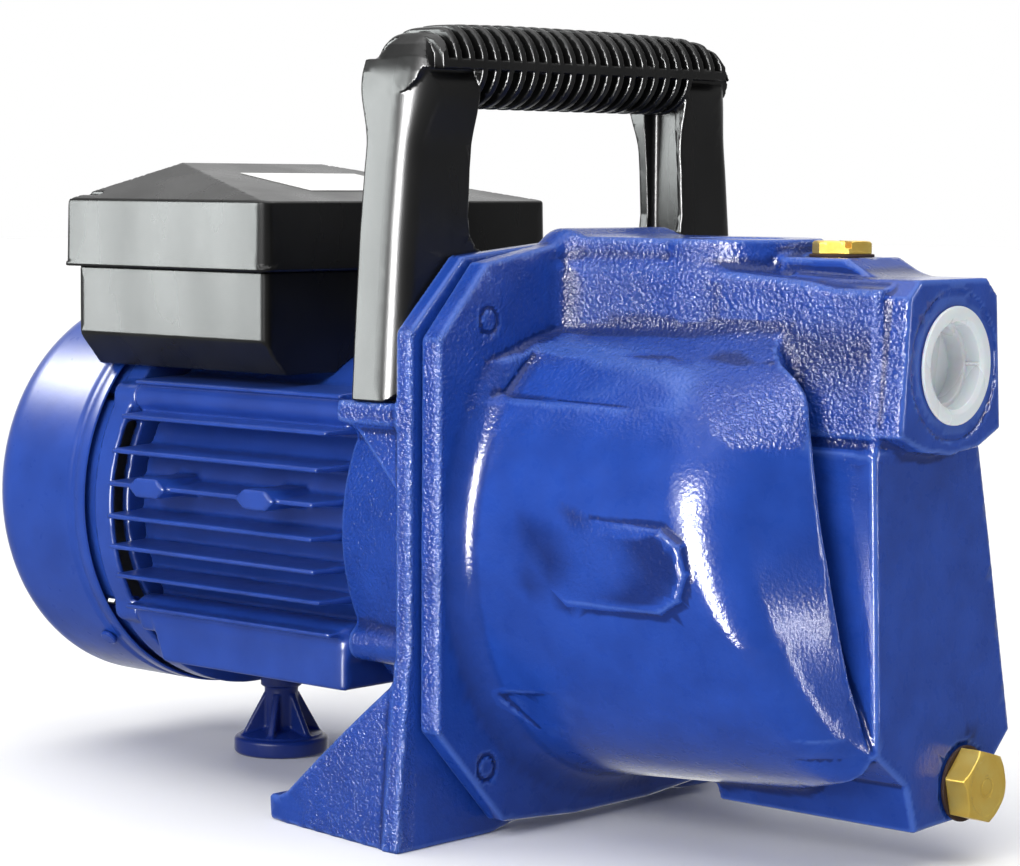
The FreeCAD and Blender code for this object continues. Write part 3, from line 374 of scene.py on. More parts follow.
def casing_shell(x, y, z):
    """The outside of the casting, before its machined faces."""
    body = both(drum(x, y, z), slanted_end(x, y, z), 12)
    body = less(body, panels(x, y, z), 1.8)
    body = join(body, side_pad(x, y, z), 2.2)
    front = np.maximum(both(polygon(y, z, BLOCK), x - FRONT_X, 1.6), 60 - x)
    body = join(body, front, 2.5)
    body = join(body, top_beam(x, y, z), np.interp(x, [85, 110], [8, 3]))
    boss = np.maximum(both(polygon(y, z, BOSS), x - BOSS_X, 1.5), 100 - x)
    body = np.maximum(join(body, boss, 2.5), 4 - x)
    flange = both(polygon(np.abs(y), z, FLANGE), slab(x, 0.9, 9.4), 1.4)
    return np.maximum(join(body, flange, 9), 0.9 - x)


def casing_field(x, y, z):
    """The whole casing, with its ring marks, ports, plug seats and chamber."""
    body = casing_shell(x, y, z)
    height = z - AXIS
    mark = np.abs(at_bolts(y, z, 4.2)) - 0.7
    body = less(body, np.maximum(mark, 8.9 - x), 0.3)
    face = np.maximum(tube(y, z - PORT_Z, 24), 148.6 - x)
    port = np.maximum(tube(y, z - PORT_Z, PORT_R), 131 - x)
    body = less(body, np.minimum(port, face), 0.4)
    outlet = np.maximum(tube(x - OUTLET_X, y, PORT_R), 180 - z)
    rim = tube(x - OUTLET_X, y, PORT_R) + (DECK_Z - z) - 1.6
    body = less(body, np.minimum(outlet, rim), 0.3)
    body = less(body, np.maximum(tube(x - FILLER_X, y, 12), 197.6 - z), 0.3)
    body = less(body, np.maximum(tube(y - DRAIN_Y, z - DRAIN_Z, 13.6), 139.1 - x), 0.3)
    holes = np.minimum(np.maximum(tube(y - DRAIN_Y, z - DRAIN_Z, 8.4), 123 - x),
                       np.maximum(tube(x - FILLER_X, y, 6.65), 180 - z))
    bore = np.interp(x, [-1, 4, 12, 45, 88, 103], [80, 79, 74, 68, 58, 42])
    chamber = np.maximum(tube(y, height, bore), x - 103)
    seat = np.maximum(tube(y, height, 87.4), x - 2.9)
    return np.maximum(body, -np.minimum(holes, np.minimum(chamber, seat)))


def casing_skin(x, y, z):
    """Rough as cast on the beam, the pads and the flange's edge, smoother elsewhere."""
    start = np.interp(x, [80, 105], [157, 137])
    beam = step(z - start, 0, 5) * step(np.abs(y), 24, 27) * step(x, 9, 14) * (x < 148.5)
    edge = step(np.abs(y), 86, 89) * (x < 12)
    pads = 0.35 * step(np.abs(y), 73.5, 75.5) * (z > 84) * (z < 116) * step(x, 36, 60)
    crown = 0.45 * step(z, 128, 150) * (1 - step(x, 95, 110))
    return np.clip(np.maximum(np.maximum(beam, edge), np.maximum(pads, crown)), 0.12, 1)


# -------- bracket

PLATE = [(-10, 5.5), (23, 5.5), (51.5, 0), (99, 0), (93.5, 60), (93.5, 172.5), (68.5, 197),
         (23, 201), (-10, 201)]


def bell(x, y, z):
    """The bell between plate and motor, hollow, with its windows and bearing hub."""
    height = z - AXIS
    side = np.abs(y)
    outer = both(tube(y, height, np.interp(x, [-57, -7.3], [70, 76])), slab(x, -57, -2), 2.5)
    ears = both(at_rods(y, z, 6.5), slab(x, -57, -6), 2)
    outer = join(outer, ears, 3)
    spigot = np.maximum(tube(y, height, 56.8), slab(x, -62, -50))
    outer = np.minimum(outer, spigot)
    hollow = np.maximum(tube(y, height, np.interp(x, [-42, -12], [65, 69])), slab(x, -42, -12))
    window = block(x, side, height, (-24, 30, -20), (-9, 120, 17), 4)
    outer = less(outer, np.minimum(hollow, window), 1.2)
    rear = np.maximum(np.maximum(tube(y, height, 52), -tube(y, height, 26)), x + 48)
    seat = np.maximum(tube(y, height, 20.05), x + 48)
    return np.maximum(outer, -np.minimum(rear, seat))


def bracket_field(x, y, z):
    """Plate, feet, outer webs, bell and handle lugs, kept within the feet's width and height."""
    side = np.abs(y)
    flare = 5.5 * np.clip(1 - z / 60, 0, 1) * (1 + np.maximum(x, -72) / 40)
    outer_face = side - 93.4 - flare
    plate = both(polygon(side, z, PLATE), slab(x, -7.3, -0.4), 1.3)
    foot = both(slab(x, -72, -2), slab(side, 51.5 - x * 0.08, 110), 3)
    foot = both(foot, slab(z, 0, 9), 1.4)
    web = both(polygon(x, z, [(-65, 0), (-65, 9), (-7, 56.5), (-7, 62), (-0.4, 62), (-0.4, 0)]),
               slab(side, 84.5, 110), 1.3)
    foot = both(join(foot, web, 3), outer_face, 1.5)
    body = join(plate, bell(x, y, z), 7)
    body = join(body, foot, 3)
    lug = block(x, side, z, (-36, 73, 141), (-4, 92.6, 148.6), 1.6)
    rib = both(polygon(x, z, [(-33, 143), (-4, 143), (-4, 112)]), slab(side, 76, 90), 1.5)
    body = join(body, join(lug, rib, 3), 3)
    bolts = at_bolts(y, z, 4.3)
    feet = np.maximum(tube(x + 38, side - 72, 5), z - 20)
    screws = np.maximum(at_handle_screws(x, y, 3.1), slab(z, 130, 160))
    shaft = tube(y, z - AXIS, np.where(x > -9, 14.2, 9.6))
    holes = np.minimum(np.minimum(bolts, feet), np.minimum(screws, shaft))
    body = np.maximum(less(body, holes, 0.3), x + 0.4)
    return np.maximum(body, np.maximum(side - 98.9, 0.05 - z))


def bracket_skin(x, y, z):
    """Rough on the outer sides, the lugs and the bell."""
    edge = step(np.abs(y), 90.5, 92.5)
    round_part = 0.75 * (x < -9) * (z > 60)
    return np.clip(np.maximum(edge, round_part), 0.2, 1)


# -------- motor

FIN_LEVELS = (-37.5, -25.5, -14.5, -3, 9, 21, 33.5, 46)
CLIP_LEVEL = 9
HEADS_END = -180.4  # where the sockets of the tie rods' heads end inside the ears


def motor_field(x, y, z):
    """The finned frame with its rod ribs, clip bosses and base."""
    height = z - AXIS
    side = np.abs(y)
    radius = np.sqrt(y * y + height * height)
    body = both(radius - 63, slab(x, -168, -57), 0.8)
    half = 0.85 + np.clip(81.5 - radius, 0, 20) * 0.04
    front = -57.2 - np.clip(radius - 64, 0, 30) * 0.14
    nearest = np.min([np.abs(height - level) for level in FIN_LEVELS], axis=0)
    fins = both(nearest - half, radius - 81.5, 0.8)
    fins = both(fins, np.maximum(x - front, -167.9 - x), 0.8)
    body = join(body, fins, 1.6)
    ribs = both(at_rods(y, z, 5.5), slab(x, -171, -58), 3)
    roots = both(slab(np.abs(height), 36.5, 43.5), slab(x, -168, -58), 2)
    roots = both(roots, side - ROD_Y)
    body = join(body, np.minimum(ribs, roots), 1.6)
    nearest_clip = np.minimum(np.abs(x + 143.5), np.abs(x + 86.5))
    off_fin = np.abs(height - CLIP_LEVEL)
    clips = np.maximum(nearest_clip * 0.62 + off_fin * 0.78 - 6.2, off_fin - 3.6)
    clips = both(clips, slab(side, 40, 83.4), 0.9)
    body = join(body, clips, 1.2)
    base = both(both(slab(x, -167.5, -58), side - 65.5, 2.5), slab(z, 54, 66), 1.6)
    lower = both(slab(x, -159 + (55 - z) * 0.4, -58), side - 66.5, 2.5)
    base = join(base, both(lower, slab(z, 43.5, 60), 1.6), 1.5)
    stand = both(tube(x - FOOT_X, y, 8), slab(z, 31, 50), 0.8)
    body = join(join(body, base, 3), stand, 2)
    hollow = np.minimum(at_rods(y, z, 2.7), np.maximum(tube(x - FOOT_X, y, 4.1), z - 43))
    return np.maximum(body, -np.minimum(hollow, radius - 57))


def shield_field(x, y, z):
    """The rear end shield: an outer ring, a front wall with air slots, and a bearing hub."""
    height = z - AXIS
    radius = np.sqrt(y * y + height * height)
    ring = both(radius - 75, slab(x, -182, -172.5), 0.8)
    ring = np.minimum(ring, np.maximum(radius - 72.3, slab(x, -201, -180)))
    ears = both(at_rods(y, z, 5.2), slab(x, -182, -170), 0.8)
    body = np.minimum(join(ring, ears, 1.5), np.maximum(radius - 56.9, slab(x, -170, -163)))
    behind = np.maximum(np.maximum(radius - 69, 22 - radius), x + 176)
    ahead = np.maximum(radius - 50, -170 - x)
    bearing = np.maximum(radius - 17.55, -184 - x)
    slots = both(slab(radius, 66.5, 73), slab(height, -62, 31), 2)
    body = less(body, np.maximum(slots, slab(x, -178, -160)), 0.5)
    body = np.maximum(body, -np.minimum(behind, np.minimum(ahead, bearing)))
    body = np.maximum(body, np.where(radius < 22, -188 - x, -201 - x))
    heads = np.maximum(at_rods(y, z, 4.5), slab(x, HEADS_END, -176))
    rods = np.minimum(at_rods(y, z, 2.7), heads)
    return np.maximum(body, -np.minimum(rods, radius - 8.6))


def foot_field(x, y, z):
    """The rear foot: a disc, a stem and six gussets."""
    radius = np.sqrt((x - FOOT_X) ** 2 + y * y)
    angle = np.arctan2(y, x - FOOT_X) / (math.pi / 3)
    across = np.abs(angle - np.round(angle)) * (math.pi / 3) * np.maximum(radius, 3)
    disc = both(radius - 18.3, slab(z, 0, 6.6), 1.6)
    dome = polygon(radius, z, [(-5, 4), (16.5, 4), (16, 7.4), (9, 9.2), (-5, 9.2)])
    stem = both(radius - 6.5, slab(z, 2, 31), 0.5)
    collar = both(radius - 8, slab(z, 26, 30.9), 0.8)
    gusset = polygon(radius, z, [(2, 5), (16, 5), (15.2, 8.2), (7, 23), (2, 23)])
    gusset = both(gusset, across - 1.3, 0.6)
    body = join(join(disc, dome, 0.8), join(stem, collar, 0.8), 2)
    pin = both(radius - 4, slab(z, 20, 41), 0.6)
    return np.minimum(join(body, gusset, 1), pin)


# -------- terminal box and handle

EAVES_Z = 214.2
ROOF_FRONT, ROOF_SLOPE = -89, 0.163


def box_hollow(x, y, corner):
    """The upright hollow of the terminal box, round its screw posts."""
    return np.maximum(post(x, y, (-189.4, -95.6), (-63.4, 63.4), corner), -at_posts(x, y, 4.6))


def lid_field(x, y, z):
    """The faceted lid with a lip round its rim, a slot, and a hollow inside."""
    side = np.abs(y)
    corner = np.where(x < -140, 2.5, 5.5)
    walls = post(x, y, (-197.5, -88.5), (-75.5, 75.5), corner)
    draft = (z - 189.5) * 0.02
    body = both(walls + draft, np.maximum(189.5 - z, z - 240), 0.6)
    front = np.maximum(ROOF_FRONT - x, -1) * ROOF_SLOPE
    roof = EAVES_Z + np.minimum(np.maximum(x + 196, -1) * 0.67, front)
    roof = np.minimum(roof, EAVES_Z + (75.5 - side) * 0.36)
    body = both(body, (z - roof) * 0.93, 0.9)
    lip = both(post(x, y, (-197.9, -88.1), (-75.9, 75.9), corner), slab(z, 189.5, 191.2), 0.5)
    body = np.minimum(body, lip)
    slot = block(x, y, z, (-205, -70.5, 215.4), (-184.5, -67, 230), 1)
    body = less(body, slot, 0.3)
    inside = np.maximum(box_hollow(x, y, 5), z - roof + 2.8)
    holes = np.maximum(at_posts(x, y, 1.6), z - 201)
    return np.maximum(body, -np.minimum(inside, holes))


def box_field(x, y, z):
    """The lower half of the terminal box, bevelled below and hollow."""
    side = np.abs(y)
    taper = np.maximum(164.8 - z, 0)
    upright = post(x, y, (-194.5, -92.5), (-71.5, 71.5), np.where(x < -140, 2, 3.5))
    bevel = side - 71.5 + taper * 0.85
    body = both(both(upright, bevel * 0.76, 0.6), slab(z, 152.5, 189.46), 0.5)
    floor = np.where(x < -165, 178, 168)
    inside = np.maximum(box_hollow(x, y, 3), floor - z)
    height = z - AXIS
    saddle = np.minimum(tube(y, height, 63.2), np.maximum(tube(y, height, 75.3), x + 162))
    screw = np.minimum(np.maximum(at_posts(x, y, 3.6), z - 170), at_posts(x, y, 1.8))
    gland = np.maximum(tube(x - GLAND_X, z - GLAND_Z, 6.1), 50 - y)
    cuts = np.minimum(np.minimum(inside, saddle), np.minimum(screw, gland))
    return np.maximum(body, -cuts)


GRIP_X, GRIP_Z, GRIP_R = -18, 260.8, 14.5
RIB_PITCH = 116 / 18


def grip(x, y, z):
    """The ribbed grip, whose ribs run on over the shoulders of the legs."""
    out = np.sqrt(((x - GRIP_X) * 0.95) ** 2 + (z - GRIP_Z) ** 2) - GRIP_R
    ribs = both(out, np.abs((y / RIB_PITCH) % 1.0 - 0.5) * RIB_PITCH - 1.35, 0.5)
    upper = np.maximum(ribs, 259 - z)
    lower = np.maximum(np.maximum(ribs, np.abs(y) - 57), z - 263)
    spine = both(np.maximum(out, -4.5 - out), slab(z, 259, 262.4), 0.6)
    spine = np.maximum(spine, np.abs(y) - 74)
    core = tube(x + 17.5, z - GRIP_Z, 10.4)
    return np.minimum(np.minimum(core, spine), np.minimum(upper, lower))


LEG_OUTLINE = [(-20, 148.8), (93.2, 148.8), (91.8, 172), (89.6, 204), (87.4, 226), (85.6, 240),
               (84.4, 252), (83.4, 258), (81.6, 263), (78.8, 267.2), (74.4, 270.6), (68, 273),
               (60, 274.3), (30, 275.1), (-20, 275.4)]
OPENING = [(-20, 197.3), (47.5, 197.3), (53.2, 199.4), (56.4, 203.6), (57.3, 210), (56.5, 226),
           (55, 243), (54.6, 263), (-20, 263)]
BELOW = [(-20, 140), (64, 140), (64, 169), (36, 184), (-20, 184)]


def handle_field(x, y, z):
    """Two hollow legs, a bar behind the casing's deck, and the ribbed grip."""
    side = np.abs(y)
    outer = polygon(side, z, LEG_OUTLINE)
    swell = step(z, 232, 256)
    frame_part = both(outer, z - 262.4, 0.4)
    frame_part = both(frame_part, x + 8 - 3.6 * swell, 8 + 5 * swell)
    frame_part = both(frame_part, -28.6 - 5 * swell - x, 1.5)
    frame_part = less(frame_part, polygon(side, z, OPENING), 1)
    frame_part = less(frame_part, polygon(side, z, BELOW), 1)
    pocket = block(x, side, z, (-24.4, 40, 200), (-10.6, 60.5, 257), 2)
    frame_part = less(frame_part, pocket, 0.4)
    tucked = outer + 4.5 * np.minimum(np.abs(x - GRIP_X) / GRIP_R, 1) ** 4
    body = join(frame_part, np.maximum(grip(x, y, z), tucked), 0.4)
    bolts = np.maximum(tube(side - BOLT_Y, z - AXIS - BOLT_Z, 9.5), slab(x, -17, 0))
    screws = np.maximum(at_handle_screws(x, y, 2.6), z - 167)
    return np.maximum(body, -np.minimum(bolts, screws))


# -------- plugs and other small pieces

PITCH = 1.337
FILLER_TURN, SLOT_TURN, DRAIN_TURN = -11.3, -41.3, 14


def turned_by(u, v, degrees):
    """Turn a pair of coordinates about the origin."""
    c, s = math.cos(math.radians(degrees)), math.sin(math.radians(degrees))
    return u * c + v * s, v * c - u * s


def hex_head(along, u, v, flats, low, high, bevel):
    """A hexagon head between two levels, with its corners turned off at the top."""
    radius = np.sqrt(u * u + v * v)
    cone = (radius - flats / 2 * bevel + (along - high) * 1.7) * 0.5
    return both(both(hexagon(u, v, flats), slab(along, low, high), 0.25), cone, 0.2)


def filler_field(x, y, z):
    """The filler plug: slotted hexagon head and threaded stem."""
    u, v = turned_by(x - FILLER_X, y, FILLER_TURN)
    head = hex_head(z, v, u, 17.5, 199.05, 203.25, 1.02)
    _, across = turned_by(x - FILLER_X, y, SLOT_TURN)
    slot = np.maximum(np.abs(across) - 1.0, 201 - z)
    head = less(head, slot, 0.15)
    stem = thread(z, x - FILLER_X, y, 6.5, PITCH, 0.75)
    stem = both(stem, slab(z, 187, 199.4), 0.4)
    neck = np.maximum(tube(x - FILLER_X, y, 5.7), slab(z, 197.4, 199.4))
    stem = np.minimum(np.maximum(stem, z - 197.6), neck)
    return np.minimum(head, stem)


def drain_field(x, y, z):
    """The drain plug: hexagon head with a turned face, and a threaded stem."""
    across, up = y - DRAIN_Y, z - DRAIN_Z
    u, v = turned_by(across, up, DRAIN_TURN)
    head = hex_head(x, v, u, 22, 140.85, 149.35, 1.0)
    radius = np.sqrt(across * across + up * up)
    rings = np.maximum(np.abs(radius - 3.2) - 0.45, 149.05 - x)
    dish = np.maximum(radius - 9.4, 149.2 - x)
    head = less(head, np.minimum(rings, dish), 0.12)
    stem = thread(x, across, up, 8.2, PITCH, 0.75)
    stem = both(stem, slab(x, 127.6, 139.4), 0.4)
    neck = np.maximum(radius - 7.4, slab(x, 139, 141))
    return np.minimum(head, np.minimum(stem, neck))


def cap_field(x, y, z):
    """The push-in cap: a flat ring round a stepped cup with one small rib."""
    up = z - PORT_Z
    radius = np.sqrt(y * y + up * up)
    ring = both(radius - 19, slab(x, 149.05, 150.2), 0.4)
    cup = both(radius - 15.05, slab(x, 137, 149.6), 0.5)
    inside = np.minimum(np.maximum(radius - 13.9, 144.2 - x),
                        np.maximum(radius - 12.4, 138.1 - x))
    dish = (radius - 15.4 + (150.2 - x) * 1.6) * 0.53
    body = less(np.minimum(ring, cup), np.minimum(inside, dish), 0.25)
    rib = np.maximum(np.maximum(np.abs(up) - 0.5, slab(x, 138, 149)), slab(radius, 13, 14.4))
    return np.minimum(body, np.maximum(rib, -y))


def gland_nut_field(x, y, z):
    """The gland's nut, with grip flutes."""
    u, v = x - GLAND_X, z - GLAND_Z
    angle = np.arctan2(v, u)
    flutes = 0.35 * np.cos(angle * 16)
    radius = np.sqrt(u * u + v * v)
    outside = polygon(radius + flutes, y - 66, [(4.5, 12.5), (7.6, 12.5), (7.6, 6), (9, 6),
                                               (9, 13), (7.5, 18.9), (4.5, 18.9)])
    return outside - 0.05


def softened(name, node, width):
    """A copy of a CAD node with its flat faces merged and its edges rounded."""
    copy = frame["nodes"][node].data.copy()
    copy.name = name
    faces = bmesh.new()
    faces.from_mesh(copy)
    bmesh.ops.remove_doubles(faces, verts=faces.verts, dist=1e-6)
    bmesh.ops.dissolve_limit(faces, angle_limit=math.radians(0.5), verts=faces.verts,
                             edges=faces.edges)
    faces.to_mesh(copy)
    faces.free()
    piece = linked(name, copy)
    bevel = piece.modifiers.new("bevel", "BEVEL")
    bevel.width = width * MM
    bevel.segments = 2
    bevel.limit_method = "ANGLE"
    bevel.angle_limit = math.radians(35)
    bevel.use_clamp_overlap = True
    bevel.harden_normals = False
    copy.shade_smooth()
    copy.set_sharp_from_angle(angle=math.radians(35))
    return stands_for(piece, node)


# -------- fan cover

def ring_points(radius, count, x):
    """Points evenly round the shaft's axis."""
    turns = [2 * math.pi * k / count for k in range(count)]
    return [((x + JOINT_X) * MM, radius * math.cos(t) * MM, (AXIS + radius * math.sin(t)) * MM)
            for t in turns]


def sweep(faces, outline, count):
    """Sweep an outline of (x, radius) points round the axis; returns its rings of vertices."""
    rings = [[faces.verts.new(p) for p in ring_points(r, count, x)] for x, r in outline]
    for low, high in zip(rings, rings[1:]):
        for k in range(count):
            n = (k + 1) % count
            faces.faces.new((low[k], low[n], high[n], high[k]))
    return rings


def arc(cx, cr, radius, start, end, count):
    """Points along an arc in the (x, radius) plane."""
    turns = [math.radians(start + (end - start) * k / count) for k in range(count + 1)]
    return [(cx + radius * math.cos(t), cr + radius * math.sin(t)) for t in turns]


GRILLE_RINGS = ((10, 18), (16, 29), (22, 40), (28, 51))
GRILLE_R = 3.1


def grille_holes(faces, x):
    """Loops of vertices for the grille's holes on one face of the sheet."""
    loops = []
    turns = [2 * math.pi * k / 14 for k in range(14)]
    for count, radius in GRILLE_RINGS:
        for index in range(count):
            angle = 2 * math.pi * index / count
            across, up = radius * math.cos(angle), radius * math.sin(angle)
            loops.append([faces.verts.new(((x + JOINT_X) * MM,
                                           (across + GRILLE_R * math.cos(t)) * MM,
                                           (AXIS + up + GRILLE_R * math.sin(t)) * MM))
                          for t in turns])
    return loops


def closed_edges(faces, loop):
    """The edges of a closed loop of vertices, made where they are missing."""
    edges = []
    for a, b in zip(loop, loop[1:] + loop[:1]):
        edges.append(faces.edges.get((a, b)) or faces.edges.new((a, b)))
    return edges


def make_fan_cover():
    """The sheet cover: a stepped lip, a round shoulder and a pierced rear face."""
    skin, rear, count = 1.2, -247.0, 160
    outer = [(-187, 75.4), (-187.4, 75.9), (-188.5, 76), (-191.6, 76), (-192.6, 75.4),
             (-194.2, 75.2), (-195.4, 75.5), (-196.4, 76), (-197.5, 76)]
    outer += arc(rear + 18, 58, 18, 90, 180, 14)
    inner = arc(rear + 18, 58, 18 - skin, 180, 90, 14)
    inner += [(-197.5, 74.8), (-196, 74.6), (-194.2, 74), (-192.2, 74.3), (-191, 74.8),
              (-188.5, 74.8), (-187.4, 74.9)]
    faces = bmesh.new()
    rings = sweep(faces, outer, count)
    inside = sweep(faces, inner, count)
    for k in range(count):
        n = (k + 1) % count
        faces.faces.new((inside[-1][k], inside[-1][n], rings[0][n], rings[0][k]))
    back = grille_holes(faces, rear)
    front = grille_holes(faces, rear + skin)
    for rim, holes in ((rings[-1], back), (inside[0], front)):
        edges = closed_edges(faces, rim)
        for loop in holes:
            edges += closed_edges(faces, loop)
        bmesh.ops.triangle_fill(faces, use_beauty=True, use_dissolve=False, edges=edges)
    for a, b in zip(back, front):
        for k in range(len(a)):
            n = (k + 1) % len(a)
            faces.faces.new((a[k], a[n], b[n], b[k]))
    bmesh.ops.recalc_face_normals(faces, faces=faces.faces)
    mesh = bpy.data.meshes.new("fan_cover_sheet")
    faces.to_mesh(mesh)
    faces.free()
    mesh.shade_smooth()
    mesh.set_sharp_from_angle(angle=math.radians(38))
    return stands_for(linked("fan_cover_sheet", mesh), "fan_cover")


# -------- the pieces

SCULPTED = (
    ("casing_casting", "pump_casing", casing_field, (-1, -94, -1), (152, 94, 208), 1.1),
    ("bracket_casting", "motor_bracket", bracket_field, (-75, -102, -2), (2, 102, 204), 1.2),
    ("motor_frame", "motor_housing", motor_field, (-171, -86, 28), (-55, 86, 185), 1.1),
    ("rear_shield", "rear_end_shield", shield_field, (-204, -78, 23), (-161, 78, 179), 1.2),
    ("rear_foot_moulding", "rear_foot", foot_field, (-180, -20, -1), (-139, 20, 43), 0.7),
    ("box_lid", "terminal_box_lid", lid_field, (-200, -78, 187), (-86, 78, 231), 1.0),
    ("box_base", "terminal_box_base", box_field, (-197, -74, 150), (-90, 74, 192), 1.0),
    ("carrying_handle", "handle", handle_field, (-38, -96, 147), (1, 96, 278), 0.7),
    ("filler_plug_brass", "filler_plug", filler_field, (92, -12, 186), (117, 12, 205), 0.3),
    ("drain_plug_brass", "drain_plug", drain_field, (126, 9, 12), (151, 38, 40), 0.33),
    ("port_cap", "suction_cap", cap_field, (136, -20, 144), (152, 20, 185), 0.4),
    ("gland_nut_fluted", "gland_nut", gland_nut_field, (-131, 71, 169), (-109, 86, 191), 0.4))
SKINS = {"pump_casing": casing_skin, "motor_bracket": bracket_skin}
SOFTENED = (
    ("flange_bolts", 0.5), ("flange_washers", 0.25), ("handle_screws", 0.4), ("tie_rods", 0.4),
    ("fan_cover_screws", 0.6), ("lid_screws", 0.3), ("filler_plug_seal", 0.25),
    ("drain_plug_seal", 0.3), ("rating_label", 0.1), ("cable_gland", 0.4),
    ("terminal_block", 0.6), ("capacitor", 0.6))


def make_pieces():
    """Make every visible piece in place of its CAD node."""
    for name, node, field, low, high, voxel in SCULPTED:
        piece = stands_for(sculpt(name, field, low, high, voxel), node)
        if node in SKINS:
            masked(piece, field, SKINS[node])
        if node == "handle":
            piece.data.materials[0] = bpy.data.materials.new("handle_plastic")
    make_fan_cover()
    for node, width in SOFTENED:
        softened(node + "_finished", node, width)
    repainted(bpy.data.objects["fan_cover_screws_finished"], "cover_paint")
    repainted(bpy.data.objects["tie_rods_finished"], "motor_paint")
    lay_label(bpy.data.objects["rating_label_finished"].data)


def lay_label(label):
    """Lay the blank label on the lid's front slope."""
    lowest = min(spot.co.z for spot in label.vertices)
    for spot in label.vertices:
        slope = EAVES_Z + (JOINT_X + ROOF_FRONT - spot.co.x / MM) * ROOF_SLOPE
        spot.co.z += (slope + 0.05) * MM - lowest


make_pieces()


# -------- materials

class Finish:
    """A procedural material under construction: a principled shader and helpers for its nodes."""

    def __init__(self, name):
        material = bpy.data.materials.get(name) or bpy.data.materials.new(name)
        material.use_nodes = True
        self.tree = material.node_tree
        self.tree.nodes.clear()
        output = self.tree.nodes.new("ShaderNodeOutputMaterial")
        self.shader = self.tree.nodes.new("ShaderNodeBsdfPrincipled")
        self.link(self.shader.outputs[0], output.inputs[0])
        self.place = self.tree.nodes.new("ShaderNodeTexCoord").outputs["Object"]
        self.normal = None

    def link(self, source, target):
        self.tree.links.new(source, target)

    def set(self, **values):
        """Set sockets of the shader; underscores stand for spaces."""
        for name, value in values.items():
            self.shader.inputs[name.replace("_", " ")].default_value = value

    def stretched(self, scale):
        """Object coordinates scaled by a different amount along each axis."""
        node = self.tree.nodes.new("ShaderNodeMapping")
        node.inputs["Scale"].default_value = scale
        self.link(self.place, node.inputs["Vector"])
        return node.outputs["Vector"]

    def noise(self, scale, detail=2.0, stretch=None, roughness=0.5):
        """Noise with features about 1/scale metres apart."""
        node = self.tree.nodes.new("ShaderNodeTexNoise")
        node.inputs["Scale"].default_value = scale
        node.inputs["Detail"].default_value = detail
        node.inputs["Roughness"].default_value = roughness
        self.link(self.stretched(stretch) if stretch else self.place, node.inputs["Vector"])
        return node.outputs["Fac"]

    def bands(self, scale, kind="BANDS", centre=(0, 0, 0)):
        """Even stripes across x, or rings round a line along x."""
        node = self.tree.nodes.new("ShaderNodeTexWave")
        node.wave_type = kind
        node.bands_direction = "X"
        node.rings_direction = "X"
        node.inputs["Scale"].default_value = scale
        node.inputs["Distortion"].default_value = 0.3
        shift = self.tree.nodes.new("ShaderNodeMapping")
        shift.inputs["Location"].default_value = [-c for c in centre]
        self.link(self.place, shift.inputs["Vector"])
        self.link(shift.outputs["Vector"], node.inputs["Vector"])
        return node.outputs["Fac"]

    def ranged(self, source, low, high, start=0.3, end=0.7):
        """Map a source between two values."""
        node = self.tree.nodes.new("ShaderNodeMapRange")
        node.inputs["From Min"].default_value = start
        node.inputs["From Max"].default_value = end
        node.inputs["To Min"].default_value = low
        node.inputs["To Max"].default_value = high
        self.link(source, node.inputs["Value"])
        return node.outputs["Result"]

    def colour(self, first, second, source):
        """Mix two colours into the base colour by a source."""
        node = self.tree.nodes.new("ShaderNodeMix")
        node.data_type = "RGBA"
        node.inputs["A"].default_value = (*first, 1)
        node.inputs["B"].default_value = (*second, 1)
        self.link(self.ranged(source, 0, 1), node.inputs["Factor"])
        self.link(node.outputs["Result"], self.shader.inputs["Base Color"])

    def tinted(self, attribute, start, end, most, tint):
        """Mix another colour over the base colour as an attribute of the mesh grows."""
        value = self.tree.nodes.new("ShaderNodeAttribute")
        value.attribute_name = attribute
        share = self.ranged(value.outputs["Fac"], 0, most, start, end)
        before = self.shader.inputs["Base Color"].links[0].from_socket
        node = self.tree.nodes.new("ShaderNodeMix")
        node.data_type = "RGBA"
        node.inputs["B"].default_value = (*tint, 1)
        self.link(share, node.inputs["Factor"])
        self.link(before, node.inputs["A"])
        self.link(node.outputs["Result"], self.shader.inputs["Base Color"])

    def rough(self, low, high, source):
        """Vary the roughness by a source."""
        self.link(self.ranged(source, low, high), self.shader.inputs["Roughness"])

    def bump(self, source, depth, strength=None):
        """Add a relief that many metres deep; its strength can follow another source."""
        node = self.tree.nodes.new("ShaderNodeBump")
        node.inputs["Distance"].default_value = depth
        if strength is not None:
            self.link(strength, node.inputs["Strength"])
        self.link(source, node.inputs["Height"])
        if self.normal is not None:
            self.link(self.normal, node.inputs["Normal"])
        self.normal = node.outputs["Normal"]
        self.link(self.normal, self.shader.inputs["Normal"])

    def groove(self, at, width, depth):
        """A narrow line pressed in all round at one x."""
        split = self.tree.nodes.new("ShaderNodeSeparateXYZ")
        self.link(self.place, split.inputs[0])
        off = self.tree.nodes.new("ShaderNodeMath")
        off.operation = "COMPARE"
        off.inputs[1].default_value = at
        off.inputs[2].default_value = width / 2
        self.link(split.outputs["X"], off.inputs[0])
        lift = self.ranged(off.outputs[0], 1, 0, 0, 1)
        self.bump(lift, depth)


PAINT_DEEP = (0.010, 0.044, 0.27)
PAINT_LIGHT = (0.014, 0.058, 0.34)
# The edge colour is a painted highlight for outward bends; the crease colour is painted shade for
# creases and hollows.
PAINT_EDGE_HIGHLIGHT = (0.10, 0.20, 0.60)
PAINT_CREASE_SHADE = (0.003, 0.012, 0.09)


